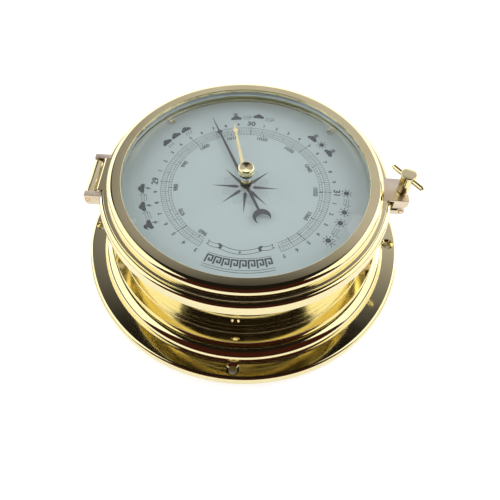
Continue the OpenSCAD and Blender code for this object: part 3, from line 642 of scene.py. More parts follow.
@dataclass
class Case:
    """The turned case and its back cover."""

    flange_r: float = 89.0
    flange_t: float = 5.5
    flange_edge: float = 2.0
    moulding_r: float = 80.0
    moulding_top: float = 12.2
    plinth_r: float = 74.2
    plinth_top: float = 16.8
    step_r: float = 69.6
    step_top: float = 18.0
    waist_r: float = 67.4
    rim_z: float = 46.9
    rim_r: float = 74.7
    rim_round: float = 2.4
    mouth_r: float = 66.5
    ledge_r: float = 58.5
    ledge_t: float = 3.0
    drum_in: float = 63.9
    rear_r: float = 56.0
    cover_r: float = 63.2
    cover_seat: float = 2.1
    hole_at: float = 83.5
    hole_r: float = 2.25
    sink_r: float = 3.4
    vent_r: float = 1.3
    vent_sink: float = 2.2
    crisp: float = 0.22

    def __post_init__(self) -> None:
        """Takes the heights of the rim and the dial's ledge from the frame."""
        self.rim_top: float = box_mm("case_rim")[1].z
        self.ledge_z: float = box_mm("dial_plate")[0].z

    def corners(self) -> list[tuple[float, ...]]:
        """The case's turned outline, with the mouth's inner wall in its own finish.

        Returns:
            The corners, each with the values of a Corner.
        """
        c = self.crisp
        flange, mould, plinth, step = self.flange_r, self.moulding_r, self.plinth_r, self.step_r
        waist, rim, inner, rear = self.waist_r, self.rim_r, self.drum_in, self.rear_r
        ledge_foot = self.ledge_z - self.ledge_t
        return [
            (self.cover_r, 0, c), (flange, 0, c), (flange, self.flange_t, self.flange_edge),
            (mould, self.flange_t, c), (mould, self.moulding_top, mould - plinth),
            (plinth, self.moulding_top), (plinth, self.plinth_top, c), (step, self.plinth_top, c / 2),
            (step, self.step_top, c),
            (waist, self.step_top, c / 2), (waist, self.rim_z, c / 2), (rim, self.rim_z, c),
            (rim, self.rim_top, self.rim_round), (self.mouth_r, self.rim_top, c, 1),
            (self.mouth_r, self.ledge_z), (self.ledge_r, self.ledge_z), (self.ledge_r, ledge_foot),
            (inner, ledge_foot), (inner, self.flange_t), (rear, self.flange_t, c),
            (rear, self.cover_seat, c), (self.cover_r, self.cover_seat),
        ]

    def screw_hole(self, angle: float) -> Piece:
        """A countersunk hole through the flange, as a shape to cut with.

        Args:
            angle: Its place round the flange, in radians.

        Returns:
            The shape to cut with.
        """
        sink = self.sink_r - self.hole_r
        top = self.flange_t
        outline = [(0, -1), (self.hole_r, -1), (self.hole_r, top - sink), (self.sink_r + 1, top + 1),
                   (0, top + 1)]
        at = (self.hole_at * math.cos(angle), self.hole_at * math.sin(angle))
        return turned("hole_cutter", outline, 48, at)

    def vent(self) -> Piece:
        """The countersunk air vent in the waist at 6 o'clock, as a shape to cut with.

        Returns:
            The shape to cut with.
        """
        deep = self.waist_r - self.drum_in + 1
        sink = self.vent_sink - self.vent_r
        outline = [(0, -deep), (self.vent_r, -deep), (self.vent_r, -sink), (self.vent_sink + 1, 1), (0, 1)]
        cutter = turned("vent_cutter", outline, 48)
        height = self.plinth_top + (self.rim_z - self.plinth_top) / 3
        cutter.data.transform(Matrix.Translation((0, -self.waist_r * MM, height * MM))
                              @ Matrix.Rotation(math.radians(90), 4, "X"))
        return cutter

    def build(self) -> None:
        """Builds the case and dresses what is fixed to it."""
        body = turned("case_shell", self.corners())
        holes = [self.screw_hole(math.radians(90 * k)) for k in range(4)]
        lug_low, lug_high = box_mm("hinge_lugs")
        barrel_low, barrel_high = box_mm("hinge_barrel")
        spans = ((lug_low.y, barrel_low.y - HINGE_GAP), (barrel_high.y + HINGE_GAP, lug_high.y))
        low_x, low_z, high_z = -self.rim_r - 1, self.rim_z - 1, self.rim_top + 1
        seats = [block("lug_seat", (low_x, near, low_z), (lug_high.x, far, high_z)) for near, far in spans]
        combine(body, [*holes, self.vent(), *seats])
        smooth(body, 28.0)
        place(body, "case", [Finish.BRASS, Finish.WALL],
              ["case_flange", "case_plinth", "case_drum", "dial_ledge", "case_rim"])
        dress("back_cover", Finish.PLATE_BRASS, 0.2)
        dress("back_cover_screws", Finish.BRASS)


@dataclass
class Hinge:
    """The hinge at 9 o'clock: two lugs on the case, a pin, and the bezel's barrel with its leaf."""

    pin_r: float = 1.1
    barrel_r: float = 2.4
    bore_gap: float = 0.06
    lug_bevel: float = 1.0
    shoulder: float = -72.3
    foot_t: float = 0.9
    edge: float = 0.3

    def __post_init__(self) -> None:
        """Takes the hinge's places from the frame."""
        self.x, _, self.z = joint_mm("bezel_hinge")
        self.lug_low, self.lug_high = box_mm("hinge_lugs")
        self.low, self.high = box_mm("hinge_barrel")

    def lug(self, near: float, far: float) -> Piece:
        """One lug, with its bore for the pin.

        Args:
            near: Where it begins along the hinge's axis.
            far: Where it ends.

        Returns:
            The lug.
        """
        low, high = self.lug_low, self.lug_high
        outline = [(high.x, low.z), (high.x, high.z), (low.x, high.z), (low.x, low.z + self.lug_bevel),
                   (low.x + self.lug_bevel, low.z)]
        lug = extruded("lug", outline, near, far)
        combine(lug, [cross_rod("bore", self.pin_r, (self.x, self.z), near - 1, far + 1)])
        return lug

    def leaf_outline(self) -> list[Point2]:
        """The leaf that joins the barrel to the bezel, hollowed on top and arched over the shoulder.

        Returns:
            The outline in X and Z.
        """
        top, foot, xr = self.high.z, self.high.z - self.foot_t, self.shoulder
        return [(self.high.x, foot), (xr, foot), (xr - 1.4, foot - 0.2), (xr - 2.3, foot - 0.95),
                (xr - 2.8, self.z + 0.6), (self.x + 1.4, self.z + 0.4),
                (self.x + self.barrel_r * 0.5, self.z + self.barrel_r * 0.83),
                (xr - 3.6, self.z + self.barrel_r * 0.77), (xr - 2.6, foot - 0.3), (xr - 1.6, top - 0.2),
                (xr - 1.0, top), (self.high.x, top)]

    def build(self) -> None:
        """Builds the hinge."""
        low, high = self.low.y, self.high.y
        axis = (self.x, self.z)
        lugs = self.lug(high + HINGE_GAP, self.lug_high.y)
        combine(lugs, [self.lug(self.lug_low.y, low - HINGE_GAP)], "UNION")
        lugs.name = "hinge_lug_pair"
        smooth(lugs, 30.0, self.edge)
        place(lugs, "case", [Finish.SATIN_BRASS], ["hinge_lugs"])
        pin = cross_rod("hinge_pin_turned", self.pin_r, axis, self.lug_low.y, self.lug_high.y)
        smooth(pin, 30.0, 0.12)
        place(pin, "case", [Finish.PIN_BRASS], ["hinge_pin"])
        barrel = cross_rod("hinge_knuckle", self.barrel_r, axis, low, high, 64)
        combine(barrel, [extruded("leaf", self.leaf_outline(), low, high)], "UNION")
        combine(barrel, [cross_rod("bore", self.pin_r + self.bore_gap, axis, low - 1, high + 1)])
        smooth(barrel, 30.0, self.edge)
        place(barrel, "bezel", [Finish.BRASS], ["hinge_barrel"])


@dataclass
class Clasp:
    """The clasp at 3 o'clock: bracket, swing bolt, clamp nut, cross bar and the bezel's fork."""

    pin_r: float = 1.0
    fork_slot: float = 5.2
    fork_corner: float = 3.1
    foot_t: float = 0.9
    prong_in: float = 75.1
    nut_foot_r: float = 3.1
    nut_neck: float = 3.5
    head_t: float = 1.2
    shank_r: float = 2.2
    bar_r: float = 1.3
    bar_half: float = 10.3
    bar_angle: float = -48.0
    edge: float = 0.3

    def __post_init__(self) -> None:
        """Takes the clasp's places from the frame."""
        self.x, self.y, self.z = joint_mm("swing_bolt_pivot")
        self.fork_low, self.fork_high = box_mm("clasp_fork")

    def build_fork(self) -> None:
        """The fork on the bezel that the bolt swings into."""
        low, high = self.fork_low, self.fork_high
        web_z = high.z - self.foot_t
        web = [(low.x, web_z), (self.prong_in, web_z), (self.prong_in, low.z)]
        foot = arc((high.x - self.fork_corner, low.z + self.fork_corner), self.fork_corner, -90, 0)
        fork = extruded("clasp_fork_eased", [*web, *foot, (high.x, high.z), (low.x, high.z)], low.y, high.y)
        half = self.fork_slot / 2
        under, over = low.z - 1, high.z + 1
        slot = block("slot", (self.x, self.y - half, under), (high.x + 1, self.y + half, over))
        root = rod("slot_root", half, Vector((self.x, self.y, under)), Vector((self.x, self.y, over)))
        combine(fork, [slot, root])
        smooth(fork, 30.0, self.edge)
        place(fork, "bezel", [Finish.SATIN_BRASS], ["clasp_fork"])

    def build_bracket(self) -> None:
        """The bracket on the waist with its two ears, and the pin through them."""
        dress("clasp_bracket", Finish.SATIN_BRASS, self.edge)
        pin_low, pin_high = box_mm("clasp_pin")
        pin = cross_rod("clasp_pin_turned", self.pin_r, (self.x, self.z), pin_low.y, pin_high.y)
        smooth(pin, 30.0, 0.2)
        place(pin, "case", [Finish.PIN_BRASS], ["clasp_pin"])

    def build_nut(self) -> None:
        """The tapered clamp nut with its wider head, and the cross bar through it."""
        nut_low, nut_high = box_mm("clamp_nut")
        bar_low, bar_high = box_mm("cross_bar")
        low, high, head_r = nut_low.z, nut_high.z, (nut_high.x - nut_low.x) / 2
        bar_z, head_z = (bar_low.z + bar_high.z) / 2, high - self.head_t
        nut = turned("clamp_nut_turned", [
            (self.shank_r, low, 0.1), (self.nut_foot_r, low, 0.25), (self.nut_neck, head_z, 0.2),
            (head_r, head_z, 0.3), (head_r, high, 0.4), (0, high), (0, bar_z - self.bar_r),
            (self.shank_r, bar_z - self.bar_r),
        ], 96, (self.x, self.y))
        smooth(nut, 25.0)
        place(nut, "nut", [Finish.BRASS], ["clamp_nut"])
        half, dome = self.bar_half, self.bar_r - 0.1
        outline = [(0, -half), (self.bar_r, -half, dome), (self.bar_r, half, dome), (0, half)]
        bar = turned("cross_bar_turned", outline, 48)
        bar.data.transform(Matrix.Translation((self.x * MM, self.y * MM, bar_z * MM))
                           @ Matrix.Rotation(math.radians(self.bar_angle), 4, "Z")
                           @ Matrix.Rotation(math.radians(90), 4, "Y"))
        smooth(bar, 30.0)
        place(bar, "nut", [Finish.BRASS], ["cross_bar"])

    def build(self) -> None:
        """Builds the clasp."""
        self.build_fork()
        self.build_bracket()
        self.build_nut()
        dress("swing_bolt", Finish.BRASS, 0.15)


@dataclass
class Bezel:
    """The bezel ring with its bevelled glass."""

    spigot_r: float = 66.0
    bore_r: float = 65.2
    side_r: float = 70.1
    foot_r: float = 72.1
    foot_t: float = 0.9
    shoulder: float = 3.4
    lip_r: float = 62.6
    lip_t: float = 1.6
    bevel_in: float = 57.8
    bevel_h: float = 1.1
    crisp: float = 0.22

    def __post_init__(self) -> None:
        """Takes the heights of the ring and the glass from the frame."""
        ring_low, ring_high = box_mm("bezel_ring")
        glass_low, glass_high = box_mm("glass")
        self.low: float = ring_low.z
        self.top: float = ring_high.z
        self.foot_top: float = box_mm("clasp_fork")[1].z
        self.foot_z: float = self.foot_top - self.foot_t
        self.glass_low: float = glass_low.z
        self.glass_top: float = glass_high.z
        self.glass_r: float = glass_high.x
        self.glass_bore: float = box_mm("set_hand_bush")[1].x

    def build(self) -> None:
        """Builds the ring and the glass, and dresses what holds the glass."""
        c = self.crisp
        step_z, lip_z = self.foot_top, self.top - self.lip_t
        ring = turned("bezel_turned", [
            (self.bore_r, self.low, c / 2), (self.spigot_r, self.low, c / 2), (self.spigot_r, self.foot_z),
            (self.foot_r, self.foot_z, c / 2), (self.foot_r, step_z, c), (self.side_r, step_z, c / 2),
            (self.side_r, self.top, self.shoulder), (self.lip_r, self.top, c), (self.lip_r, lip_z, c / 2),
            (self.bore_r, lip_z, 0, 1),
        ])
        leaf_low, leaf_high = box_mm("hinge_barrel")
        fork_low, fork_high = box_mm("clasp_fork")
        outer, seat_z = self.foot_r + 1, self.foot_z - 1
        combine(ring, [
            block("leaf_seat", (-outer, leaf_low.y, seat_z), (leaf_high.x, leaf_high.y, self.foot_top)),
            block("fork_seat", (fork_low.x, fork_low.y, seat_z), (outer, fork_high.y, fork_high.z)),
        ])
        smooth(ring, 28.0)
        place(ring, "bezel", [Finish.BRASS, Finish.WALL], ["bezel_ring"])
        bore, edge, base = self.glass_bore, self.glass_r, self.glass_low
        edge_top, top = self.glass_top - self.bevel_h, self.glass_top
        glass = turned("bevelled_glass_disc", [
            (bore, base), (edge, base, 0.1), (edge, edge_top, 0.1), (self.bevel_in, top), (bore, top),
        ])
        smooth(glass, 5.0)
        place(glass, "bezel", [Finish.GLASS], ["glass"])
        dress("glass_gasket", Finish.SEAL)
        dress("glass_keeper_ring", Finish.WALL)
        dress("set_hand_bush", Finish.BRASS)


@dataclass
class SetHand:
    """The set hand with its knurled knob."""

    flutes: int = 24
    flute_steps: int = 8
    flute_depth: float = 0.22
    neck: float = 1.2
    dish: float = 0.55
    waist: float = 0.9

    def __post_init__(self) -> None:
        """Takes the knob's size from the frame."""
        low, high = box_mm("set_hand_knob")
        self.low: float = low.z
        self.top: float = high.z
        self.radius: float = high.x

    def rings(self) -> list[tuple[float, float, float]]:
        """Rings of the knob as height, radius and depth of the flutes, from its foot to its dished top.

        Returns:
            The rings, with the middle of the top as the last one.
        """
        r, top = self.radius, self.top
        band = self.low + self.neck
        return [(self.low, r - self.waist - 0.1, 0), (self.low + 0.1, r - self.waist, 0), (band, r, 0),
                (band + 0.3, r, 0), (band + 0.4, r, self.flute_depth), (top - 0.75, r, self.flute_depth),
                (top - 0.65, r, 0), (top - 0.35, r - 0.05, 0), (top - 0.1, r - 0.35, 0), (top, r - 0.6, 0),
                (top - 0.02, r - 0.8, 0), (top - self.dish, 0.35, 0), (top - self.dish, 0, 0)]

    def build_knob(self) -> None:
        """Builds the knob: knurled round its side, with a dished turned top."""
        steps = self.flutes * self.flute_steps
        rings = self.rings()
        verts = []
        for z, r, depth in rings[:-1]:
            for s in range(steps):
                turn = math.tau * s / steps
                radius = r - depth * (0.5 - 0.5 * math.cos(math.tau * s * self.flutes / steps))
                verts.append((radius * math.cos(turn), radius * math.sin(turn), z))
        tip = len(verts)
        verts.append((0, 0, rings[-1][0]))
        faces: list[tuple[int, ...]] = [tuple(range(steps - 1, -1, -1))]
        for i in range(len(rings) - 2):
            for s in range(steps):
                t = (s + 1) % steps
                faces.append((i * steps + s, i * steps + t, (i + 1) * steps + t, (i + 1) * steps + s))
        last = (len(rings) - 2) * steps
        faces += [(last + s, last + (s + 1) % steps, tip) for s in range(steps)]
        knob = make_mesh("knob_knurled", verts, faces)
        smooth(knob, 24.0)
        place(knob, "set_hand_group", [Finish.BRASS], ["set_hand_knob"])

    def build(self) -> None:
        """Builds the knob and dresses the hand."""
        self.build_knob()
        dress("knob_washer", Finish.BLACK, 0.1)
        dress("set_hand_spindle", Finish.BRASS)
        dress("set_hand", Finish.GILT, 0.06)


# The dial


class Sheet:
    """Flat printed shapes on the dial, gathered into one thin solid."""

    def __init__(self, base: float, ink: float = 0.04) -> None:
        """Starts an empty sheet that lies on the height base, in millimetres.

        Args:
            base: Height of the face under the print.
            ink: Thickness of the print.
        """
        self.base = base
        self.top = base + ink
        self.verts: list[tuple[float, float, float]] = []
        self.faces: list[tuple[int, ...]] = []

    def shape(self, outline: Sequence[Point2]) -> None:
        """Adds a filled shape.

        Args:
            outline: Its points on the dial.
        """
        n, start = len(outline), len(self.verts)
        self.verts += [(x, y, z) for z in (self.base, self.top) for x, y in outline]
        self.faces.append(tuple(start + i for i in reversed(range(n))))
        self.faces.append(tuple(start + n + i for i in range(n)))
        for i in range(n):
            j = (i + 1) % n
            self.faces.append((start + i, start + j, start + n + j, start + n + i))

    def stroke(self, line: Sequence[Point2], width: float) -> None:
        """Adds a line of a given width along some points.

        Args:
            line: The points in order.
            width: The line's width.
        """
        points = [Vector(p) for p in line]
        left, right = [], []
        sharpest = 0.35          # keeps the corner short where the line turns back sharply
        for i, p in enumerate(points):
            back = (p - points[i - 1]).normalized() if i else None
            ahead = (points[i + 1] - p).normalized() if i < len(points) - 1 else None
            back, ahead = back or ahead, ahead or back
            lean = (back + ahead).normalized() if (back + ahead).length > 1e-6 else ahead
            side = Vector((-lean.y, lean.x))
            reach = width / 2 / max(sharpest, side.dot(Vector((-ahead.y, ahead.x))))
            left.append(tuple(p + side * reach))
            right.append(tuple(p - side * reach))
        for i in range(len(points) - 1):
            self.shape([left[i], right[i], right[i + 1], left[i + 1]])

    def band(self, inner: float, outer: float, start: float = 0.0, end: float = 360.0) -> None:
        """Adds part of a ring round the dial's centre, between two dial angles.

        Args:
            inner: The ring's inner radius.
            outer: Its outer radius.
            start: The dial angle where it begins.
            end: The dial angle where it ends.
        """
        steps = max(2, round(abs(end - start) / 1.5))
        for k in range(steps):
            a, b = (start + (end - start) * i / steps for i in (k, k + 1))
            self.shape([polar(inner, a), polar(outer, a), polar(outer, b), polar(inner, b)])

    def tick(self, angle: float, inner: float, outer: float, width: float) -> None:
        """Adds a radial line."""
        self.stroke([polar(inner, angle), polar(outer, angle)], width)

    def piece(self, name: str) -> Piece:
        """Makes the thin solid."""
        return make_mesh(name, self.verts, self.faces)


def polar(radius: float, angle: float) -> Point2:
    """A point on the dial at a radius and a dial angle."""
    a = math.radians(angle)
    return radius * math.sin(a), radius * math.cos(a)


def at_angle(points: Iterable[Point2], radius: float, angle: float, size: float = 1.0) -> list[Point2]:
    """Places a small drawing on the dial with its foot towards the centre.

    Args:
        points: The drawing, across and up from its middle.
        radius: Where its middle lies.
        angle: Its dial angle.
        size: Its scale.

    Returns:
        The points on the dial.
    """
    c, s = math.cos(math.radians(angle)), math.sin(math.radians(angle))
    x0, y0 = polar(radius, angle)
    return [(x0 + size * (u * c + v * s), y0 + size * (v * c - u * s)) for u, v in points]


@dataclass(frozen=True)
class Figures:
    """The size of a row of numbers and the radius of its middle."""

    radius: float
    height: float


class Numerals:
    """Plain numbers in the font that comes with the program."""

    def __init__(self) -> None:
        """Starts with no number made."""
        self.made: dict[str, tuple[list[Point2], list[tuple[int, ...]]]] = {}

    def shape_of(self, text: str) -> tuple[list[Point2], list[tuple[int, ...]]]:
        """The faces of a number, one unit high and centred.

        Args:
            text: The number.

        Returns:
            Its points, and its faces as numbers of points.
        """
        if text not in self.made:
            curve = bpy.data.curves.new("number", "FONT")
            curve.body = text
            curve.resolution_u = 4
            curve.offset = 0.03
            holder = bpy.data.objects.new("number", curve)
            bpy.context.scene.collection.objects.link(holder)
            bpy.context.view_layer.update()
            graph = bpy.context.evaluated_depsgraph_get()
            mesh = bpy.data.meshes.new_from_object(holder.evaluated_get(graph))
            across = [v.co.x for v in mesh.vertices]
            up = [v.co.y for v in mesh.vertices]
            middle = (min(across) + max(across)) / 2, (min(up) + max(up)) / 2
            tall = max(up) - min(up)
            points = [((v.co.x - middle[0]) / tall, (v.co.y - middle[1]) / tall) for v in mesh.vertices]
            self.made[text] = points, [tuple(p.vertices) for p in mesh.polygons]
            bpy.data.meshes.remove(mesh)
            bpy.data.objects.remove(holder)
        return self.made[text]

    def write(self, sheet: Sheet, text: str, angle: float, row: Figures) -> None:
        """Prints a number on a sheet, with its foot towards the dial's centre.

        Args:
            sheet: The sheet to print on.
            text: The number.
            angle: Its dial angle.
            row: The row that it belongs to.
        """
        points, faces = self.shape_of(text)
        placed = at_angle(points, row.radius, angle, row.height)
        for face in faces:
            sheet.shape([placed[i] for i in face])


class Sign(Enum):
    """Small pictures of the weather."""

    CLOUD = "cloud"
    BOLT = "bolt"
    RAIN = "rain"
    SUN = "sun"
    SUN_CLOUD = "sun and cloud"
    WIND = "wind"


@dataclass
class WeatherRow:
    """A row of weather pictures along the edge of the dial."""

    signs: Sequence[Sign]
    start: float
    end: float
    radius: float = 52.6
    size: float = 1.7

    def cloud(self, lift: float) -> list[Point2]:
        """The outline of a cloud: the outer edge of three puffs on a flat foot.

        Args:
            lift: How far it lies above the picture's middle.

        Returns:
            The outline.
        """
        puffs = [(-1.05, 0.0, 0.72), (0.0, 0.45, 1.0), (1.05, 0.0, 0.78)]
        foot, steps = -0.55, 48
        outline = []
        for k in range(steps):
            a = math.tau * k / steps
            reach = 0.0
            for x, y, r in puffs:
                along = x * math.cos(a) + y * math.sin(a)
                inside = r * r - (x * x + y * y - along * along)
                if inside > 0:
                    reach = max(reach, along + math.sqrt(inside))
            outline.append((reach * math.cos(a), max(foot, reach * math.sin(a)) + lift))
        return outline

    def sun(self, lift: float, disc: float) -> list[list[Point2]]:
        """The outlines of a sun: its disc and eight rays.

        Args:
            lift: How far it lies above the picture's middle.
            disc: Radius of its disc.

        Returns:
            The outlines.
        """
        turns = [math.tau * k / 20 for k in range(20)]
        shapes = [[(disc * math.cos(a), lift + disc * math.sin(a)) for a in turns]]
        foot, tip, half = disc * 1.35, disc * 2.3, 0.2
        for k in range(8):
            a = math.tau * k / 8 + 0.2
            c, s = math.cos(a), math.sin(a)
            ray = ((foot, half), (tip, 0.0), (foot, -half))
            shapes.append([(r * c - w * s, lift + r * s + w * c) for r, w in ray])
        return shapes

    def shapes(self, sign: Sign) -> list[list[Point2]]:
        """The filled outlines of one picture.

        Args:
            sign: The picture.

        Returns:
            The outlines, or none for wind, which is drawn in lines.
        """
        if sign is Sign.WIND:
            return []
        if sign is Sign.SUN:
            return self.sun(0.0, 0.85)
        if sign is Sign.SUN_CLOUD:
            return [self.cloud(-0.5), *self.sun(1.5, 0.45)]
        drops = {
            Sign.CLOUD: [],
            Sign.BOLT: [[(0.35, -0.25), (-0.55, -1.25), (-0.05, -1.25), (-0.45, -2.3), (0.65, -0.95),
                         (0.1, -0.95), (0.6, -0.25)]],
            Sign.RAIN: [[(x + 0.24, -0.45), (x + 0.04, -0.45), (x - 0.36, -1.8), (x - 0.12, -1.8)]
                        for x in (-0.9, 0.0, 0.9)],
        }
        return [self.cloud(0.5), *drops[sign]]

    def draw(self, sheet: Sheet, sign: Sign, angle: float) -> None:
        """Prints one picture.

        Args:
            sheet: The sheet to print on.
            sign: The picture.
            angle: Its dial angle.
        """
        for outline in self.shapes(sign):
            sheet.shape(at_angle(outline, self.radius, angle, self.size))
        if sign is Sign.WIND:
            for lift, long in ((0.7, 1.3), (0.0, 1.7), (-0.7, 1.1)):
                hook = arc((long - 0.35, lift + 0.3), 0.3, -90, 120, 6)
                sheet.stroke(at_angle([(-1.5, lift), *hook], self.radius, angle, self.size), 0.22)

    def draw_all(self, sheet: Sheet) -> None:
        """Prints the row.

        Args:
            sheet: The sheet to print on.
        """
        for i, sign in enumerate(self.signs):
            share = i / max(1, len(self.signs) - 1)
            self.draw(sheet, sign, self.start + (self.end - self.start) * share)


@dataclass
class Dial:
    """The dial plate with its printed scales, numbers, compass rose and ornament."""

    low_inches: float = 28.3
    high_inches: float = 31.7
    top_inches: float = 30.0
    degrees_per_inch: float = 90.0
    low_millibars: int = 958
    high_millibars: int = 1072
    top_millibars: float = 1015.92
    degrees_per_millibar: float = 2.658
    scale_out: float = 44.1
    scale_mid: float = 41.5
    band_in: float = 40.1
    scale_in: float = 38.7
    line: float = 0.17
    tenths: Figures = Figures(46.7, 2.15)
    inches: Figures = Figures(47.6, 3.6)
    millibars: Figures = Figures(36.4, 2.45)
    rose_r: float = 16.8
    hub_ring: float = 3.3
    rows: list[WeatherRow] = field(default_factory=lambda: [
        WeatherRow([Sign.BOLT, Sign.WIND, Sign.BOLT, Sign.WIND, Sign.BOLT], -122, -96),
        WeatherRow([Sign.RAIN, Sign.CLOUD, Sign.RAIN], -58, -43),
        WeatherRow([Sign.SUN_CLOUD, Sign.WIND, Sign.CLOUD, Sign.WIND], -10, 11),
        WeatherRow([Sign.SUN_CLOUD, Sign.SUN, Sign.SUN_CLOUD], 42, 57),
        WeatherRow([Sign.SUN, Sign.WIND, Sign.SUN], 90, 104),
        WeatherRow([Sign.SUN, Sign.WIND, Sign.SUN], 112, 126),
    ])

    def __post_init__(self) -> None:
        """Takes the height of the dial's face from the frame."""
        self.face: float = box_mm("dial_plate")[1].z
        self.numerals = Numerals()

    def inch_angle(self, inches: float) -> float:
        """The dial angle of a pressure in inches of mercury."""
        return (inches - self.top_inches) * self.degrees_per_inch

    def millibar_angle(self, millibars: float) -> float:
        """The dial angle of a pressure in millibars."""
        return (millibars - self.top_millibars) * self.degrees_per_millibar

    def scales(self) -> Sheet:
        """The band of rings with its inch and millibar divisions.

        Returns:
            The printed sheet.
        """
        sheet = Sheet(self.face)
        fine, middling, bold, boldest = (self.line * weight for weight in (0.9, 1.3, 2.2, 2.4))
        inch_over, ten_over = 0.7, 0.5
        start, end = self.inch_angle(self.low_inches), self.inch_angle(self.high_inches)
        for radius in (self.scale_out, self.scale_mid, self.band_in, self.scale_in):
            sheet.band(radius - self.line / 2, radius + self.line / 2, start, end)
        for k in range(round(self.low_inches * 50), round(self.high_inches * 50) + 1):
            tenth, inch = k % 5 == 0, k % 25 == 0
            outer = self.scale_out + (inch_over if inch else 0.0)
            inner = self.scale_in if inch else self.band_in if tenth else self.scale_mid
            sheet.tick(self.inch_angle(k / 50), inner, outer, bold if inch else middling if tenth else fine)
        for millibars in range(self.low_millibars, self.high_millibars + 1):
            angle = self.millibar_angle(millibars)
            if start < angle < end:
                ten = millibars % 10 == 0
                inner = self.scale_in - (ten_over if ten else 0.0)
                sheet.tick(angle, inner, self.band_in, boldest if ten else fine)
        return sheet

    def numbers(self) -> Sheet:
        """Numbers outside and inside the band.

        Returns:
            The printed sheet.
        """
        sheet = Sheet(self.face)
        for k in range(round(self.low_inches * 10), round(self.high_inches * 10) + 1):
            angle = self.inch_angle(k / 10)
            whole, tenth = divmod(k, 10)
            self.numerals.write(sheet, str(tenth or whole), angle, self.tenths if tenth else self.inches)
        for millibars in range(960, 1061, 10):
            self.numerals.write(sheet, str(millibars), self.millibar_angle(millibars), self.millibars)
        return sheet

    def rose(self) -> Sheet:
        """The compass rose's eight spikes.

        Returns:
            The printed sheet.
        """
        sheet = Sheet(self.face)
        for k in range(8):
            angle = 45 * k
            tip = self.rose_r if k % 2 == 0 else self.rose_r - 1.0
            spike = [(-0.35, -0.4), (-0.95, 0.6), (0.0, tip - self.hub_ring), (0.95, 0.6), (0.35, -0.4)]
            sheet.shape(at_angle(spike, self.hub_ring + 0.8, angle))
        return sheet

    def feathers(self) -> Sheet:
        """Faint petals and ticks between the rose's spikes.

        Returns:
            The printed sheet.
        """
        sheet = Sheet(self.face)
        half_wide, half_long, taper, steps = 0.95, 3.1, 0.35, 16
        petal_at, apart, rib_in, rib_out = 8.6, 8.5, 7.0, 10.6
        tuft_at, tuft = 11.6, [(-0.9, 0.0), (-0.45, 0.8), (0.0, 0.1), (0.45, 0.8), (0.9, 0.0)]
        petal = []
        for j in range(steps + 1):
            a = math.tau * j / steps
            petal.append((half_wide * math.sin(a) * (1 - taper * math.cos(a)), -half_long * math.cos(a)))
        for k in range(8):
            between = 45 * k + 22.5
            for side in (-1, 1):
                middle = between + side * apart
                sheet.stroke(at_angle(petal, petal_at, middle), 0.16)
                sheet.tick(middle, rib_in, rib_out, 0.14)
            sheet.stroke(at_angle(tuft, tuft_at, between), 0.2)
        sheet.band(5.2, 5.34)
        return sheet

    def ribbon_line(self, radius: float, start: float, end: float, sag: float) -> list[Point2]:
        """A line along the ribbon that sags away from the centre in its middle.

        Args:
            radius: Its radius at both ends.
            start: The dial angle where it begins.
            end: The dial angle where it ends.
            sag: How much further out its middle lies.

        Returns:
            Its points.
        """
        points = []
        for k in range(13):
            share = k / 12
            points.append(polar(radius + sag * math.sin(math.pi * share), start + (end - start) * share))
        return points

    def ornament(self) -> Sheet:
        """The ribbon below the centre, and a key pattern in the place of the largest word.

        Returns:
            The printed sheet.
        """
        sheet = Sheet(self.face)
        width, fold, tail, inner, outer = 0.28, 13.5, 24.0, 38.9, 41.2
        for radius in (inner, outer):
            sheet.stroke(self.ribbon_line(radius, 180 - fold, 180 + fold, 1.3), width)
        ends = ((inner - 0.4, tail), (40.0, tail - 1.6), (outer - 0.5, tail))
        curl = ((inner - 0.9, fold + 1.8), (inner, fold - 1.0), (outer + 0.2, fold - 0.3),
                (outer - 0.2, fold + 1.9), (inner + 0.9, fold + 1.0), (inner - 0.2, fold + 3.0))
        for side in (-1, 1):
            for radius in (inner - 0.4, outer - 0.5):
                line = self.ribbon_line(radius, 180 + side * (fold + 1.5), 180 + side * tail, 0.6)
                sheet.stroke(line, width)
            sheet.stroke([polar(radius, 180 + side * turn) for radius, turn in ends], width)
            sheet.shape([polar(radius, 180 + side * turn) for radius, turn in curl])
        for k in range(5):
            petal = math.tau * k / 5
            sheet.shape(at_angle([(0.55 * math.cos(math.tau * j / 8) + 0.55 * math.cos(petal),
                                   0.4 * math.sin(math.tau * j / 8) + 0.5 * math.sin(petal))
                                  for j in range(8)], 41.4, 180, 0.6))
        self.key_pattern(sheet)
        return sheet

    def key_pattern(self, sheet: Sheet) -> None:
        """A row of square key hooks along an arc at 6 o'clock.

        Args:
            sheet: The sheet to print on.
        """
        tall, wide, foot, middle_r = 4.4, 2.9, 45.6, 48.2
        hook = [(0.0, 0.0), (0.0, tall), (wide, tall), (wide, 1.5), (1.45, 1.5), (1.45, 2.95)]
        count, pitch, weight = 8, 4.15, 0.85
        length = count * pitch
        for k in range(count):
            placed = []
            for u, v in hook:
                along = (k * pitch + u + 0.6) - length / 2
                placed.append(polar(foot + 0.4 + (tall - v), 180 - math.degrees(along / middle_r)))
            sheet.stroke(placed, weight)
        half = math.degrees(length / 2 / middle_r)
        sheet.band(foot - 0.9, foot - 0.65, 180 - half, 180 + half)
        sheet.band(foot + 5.85, foot + 6.1, 180 - half, 180 + half)

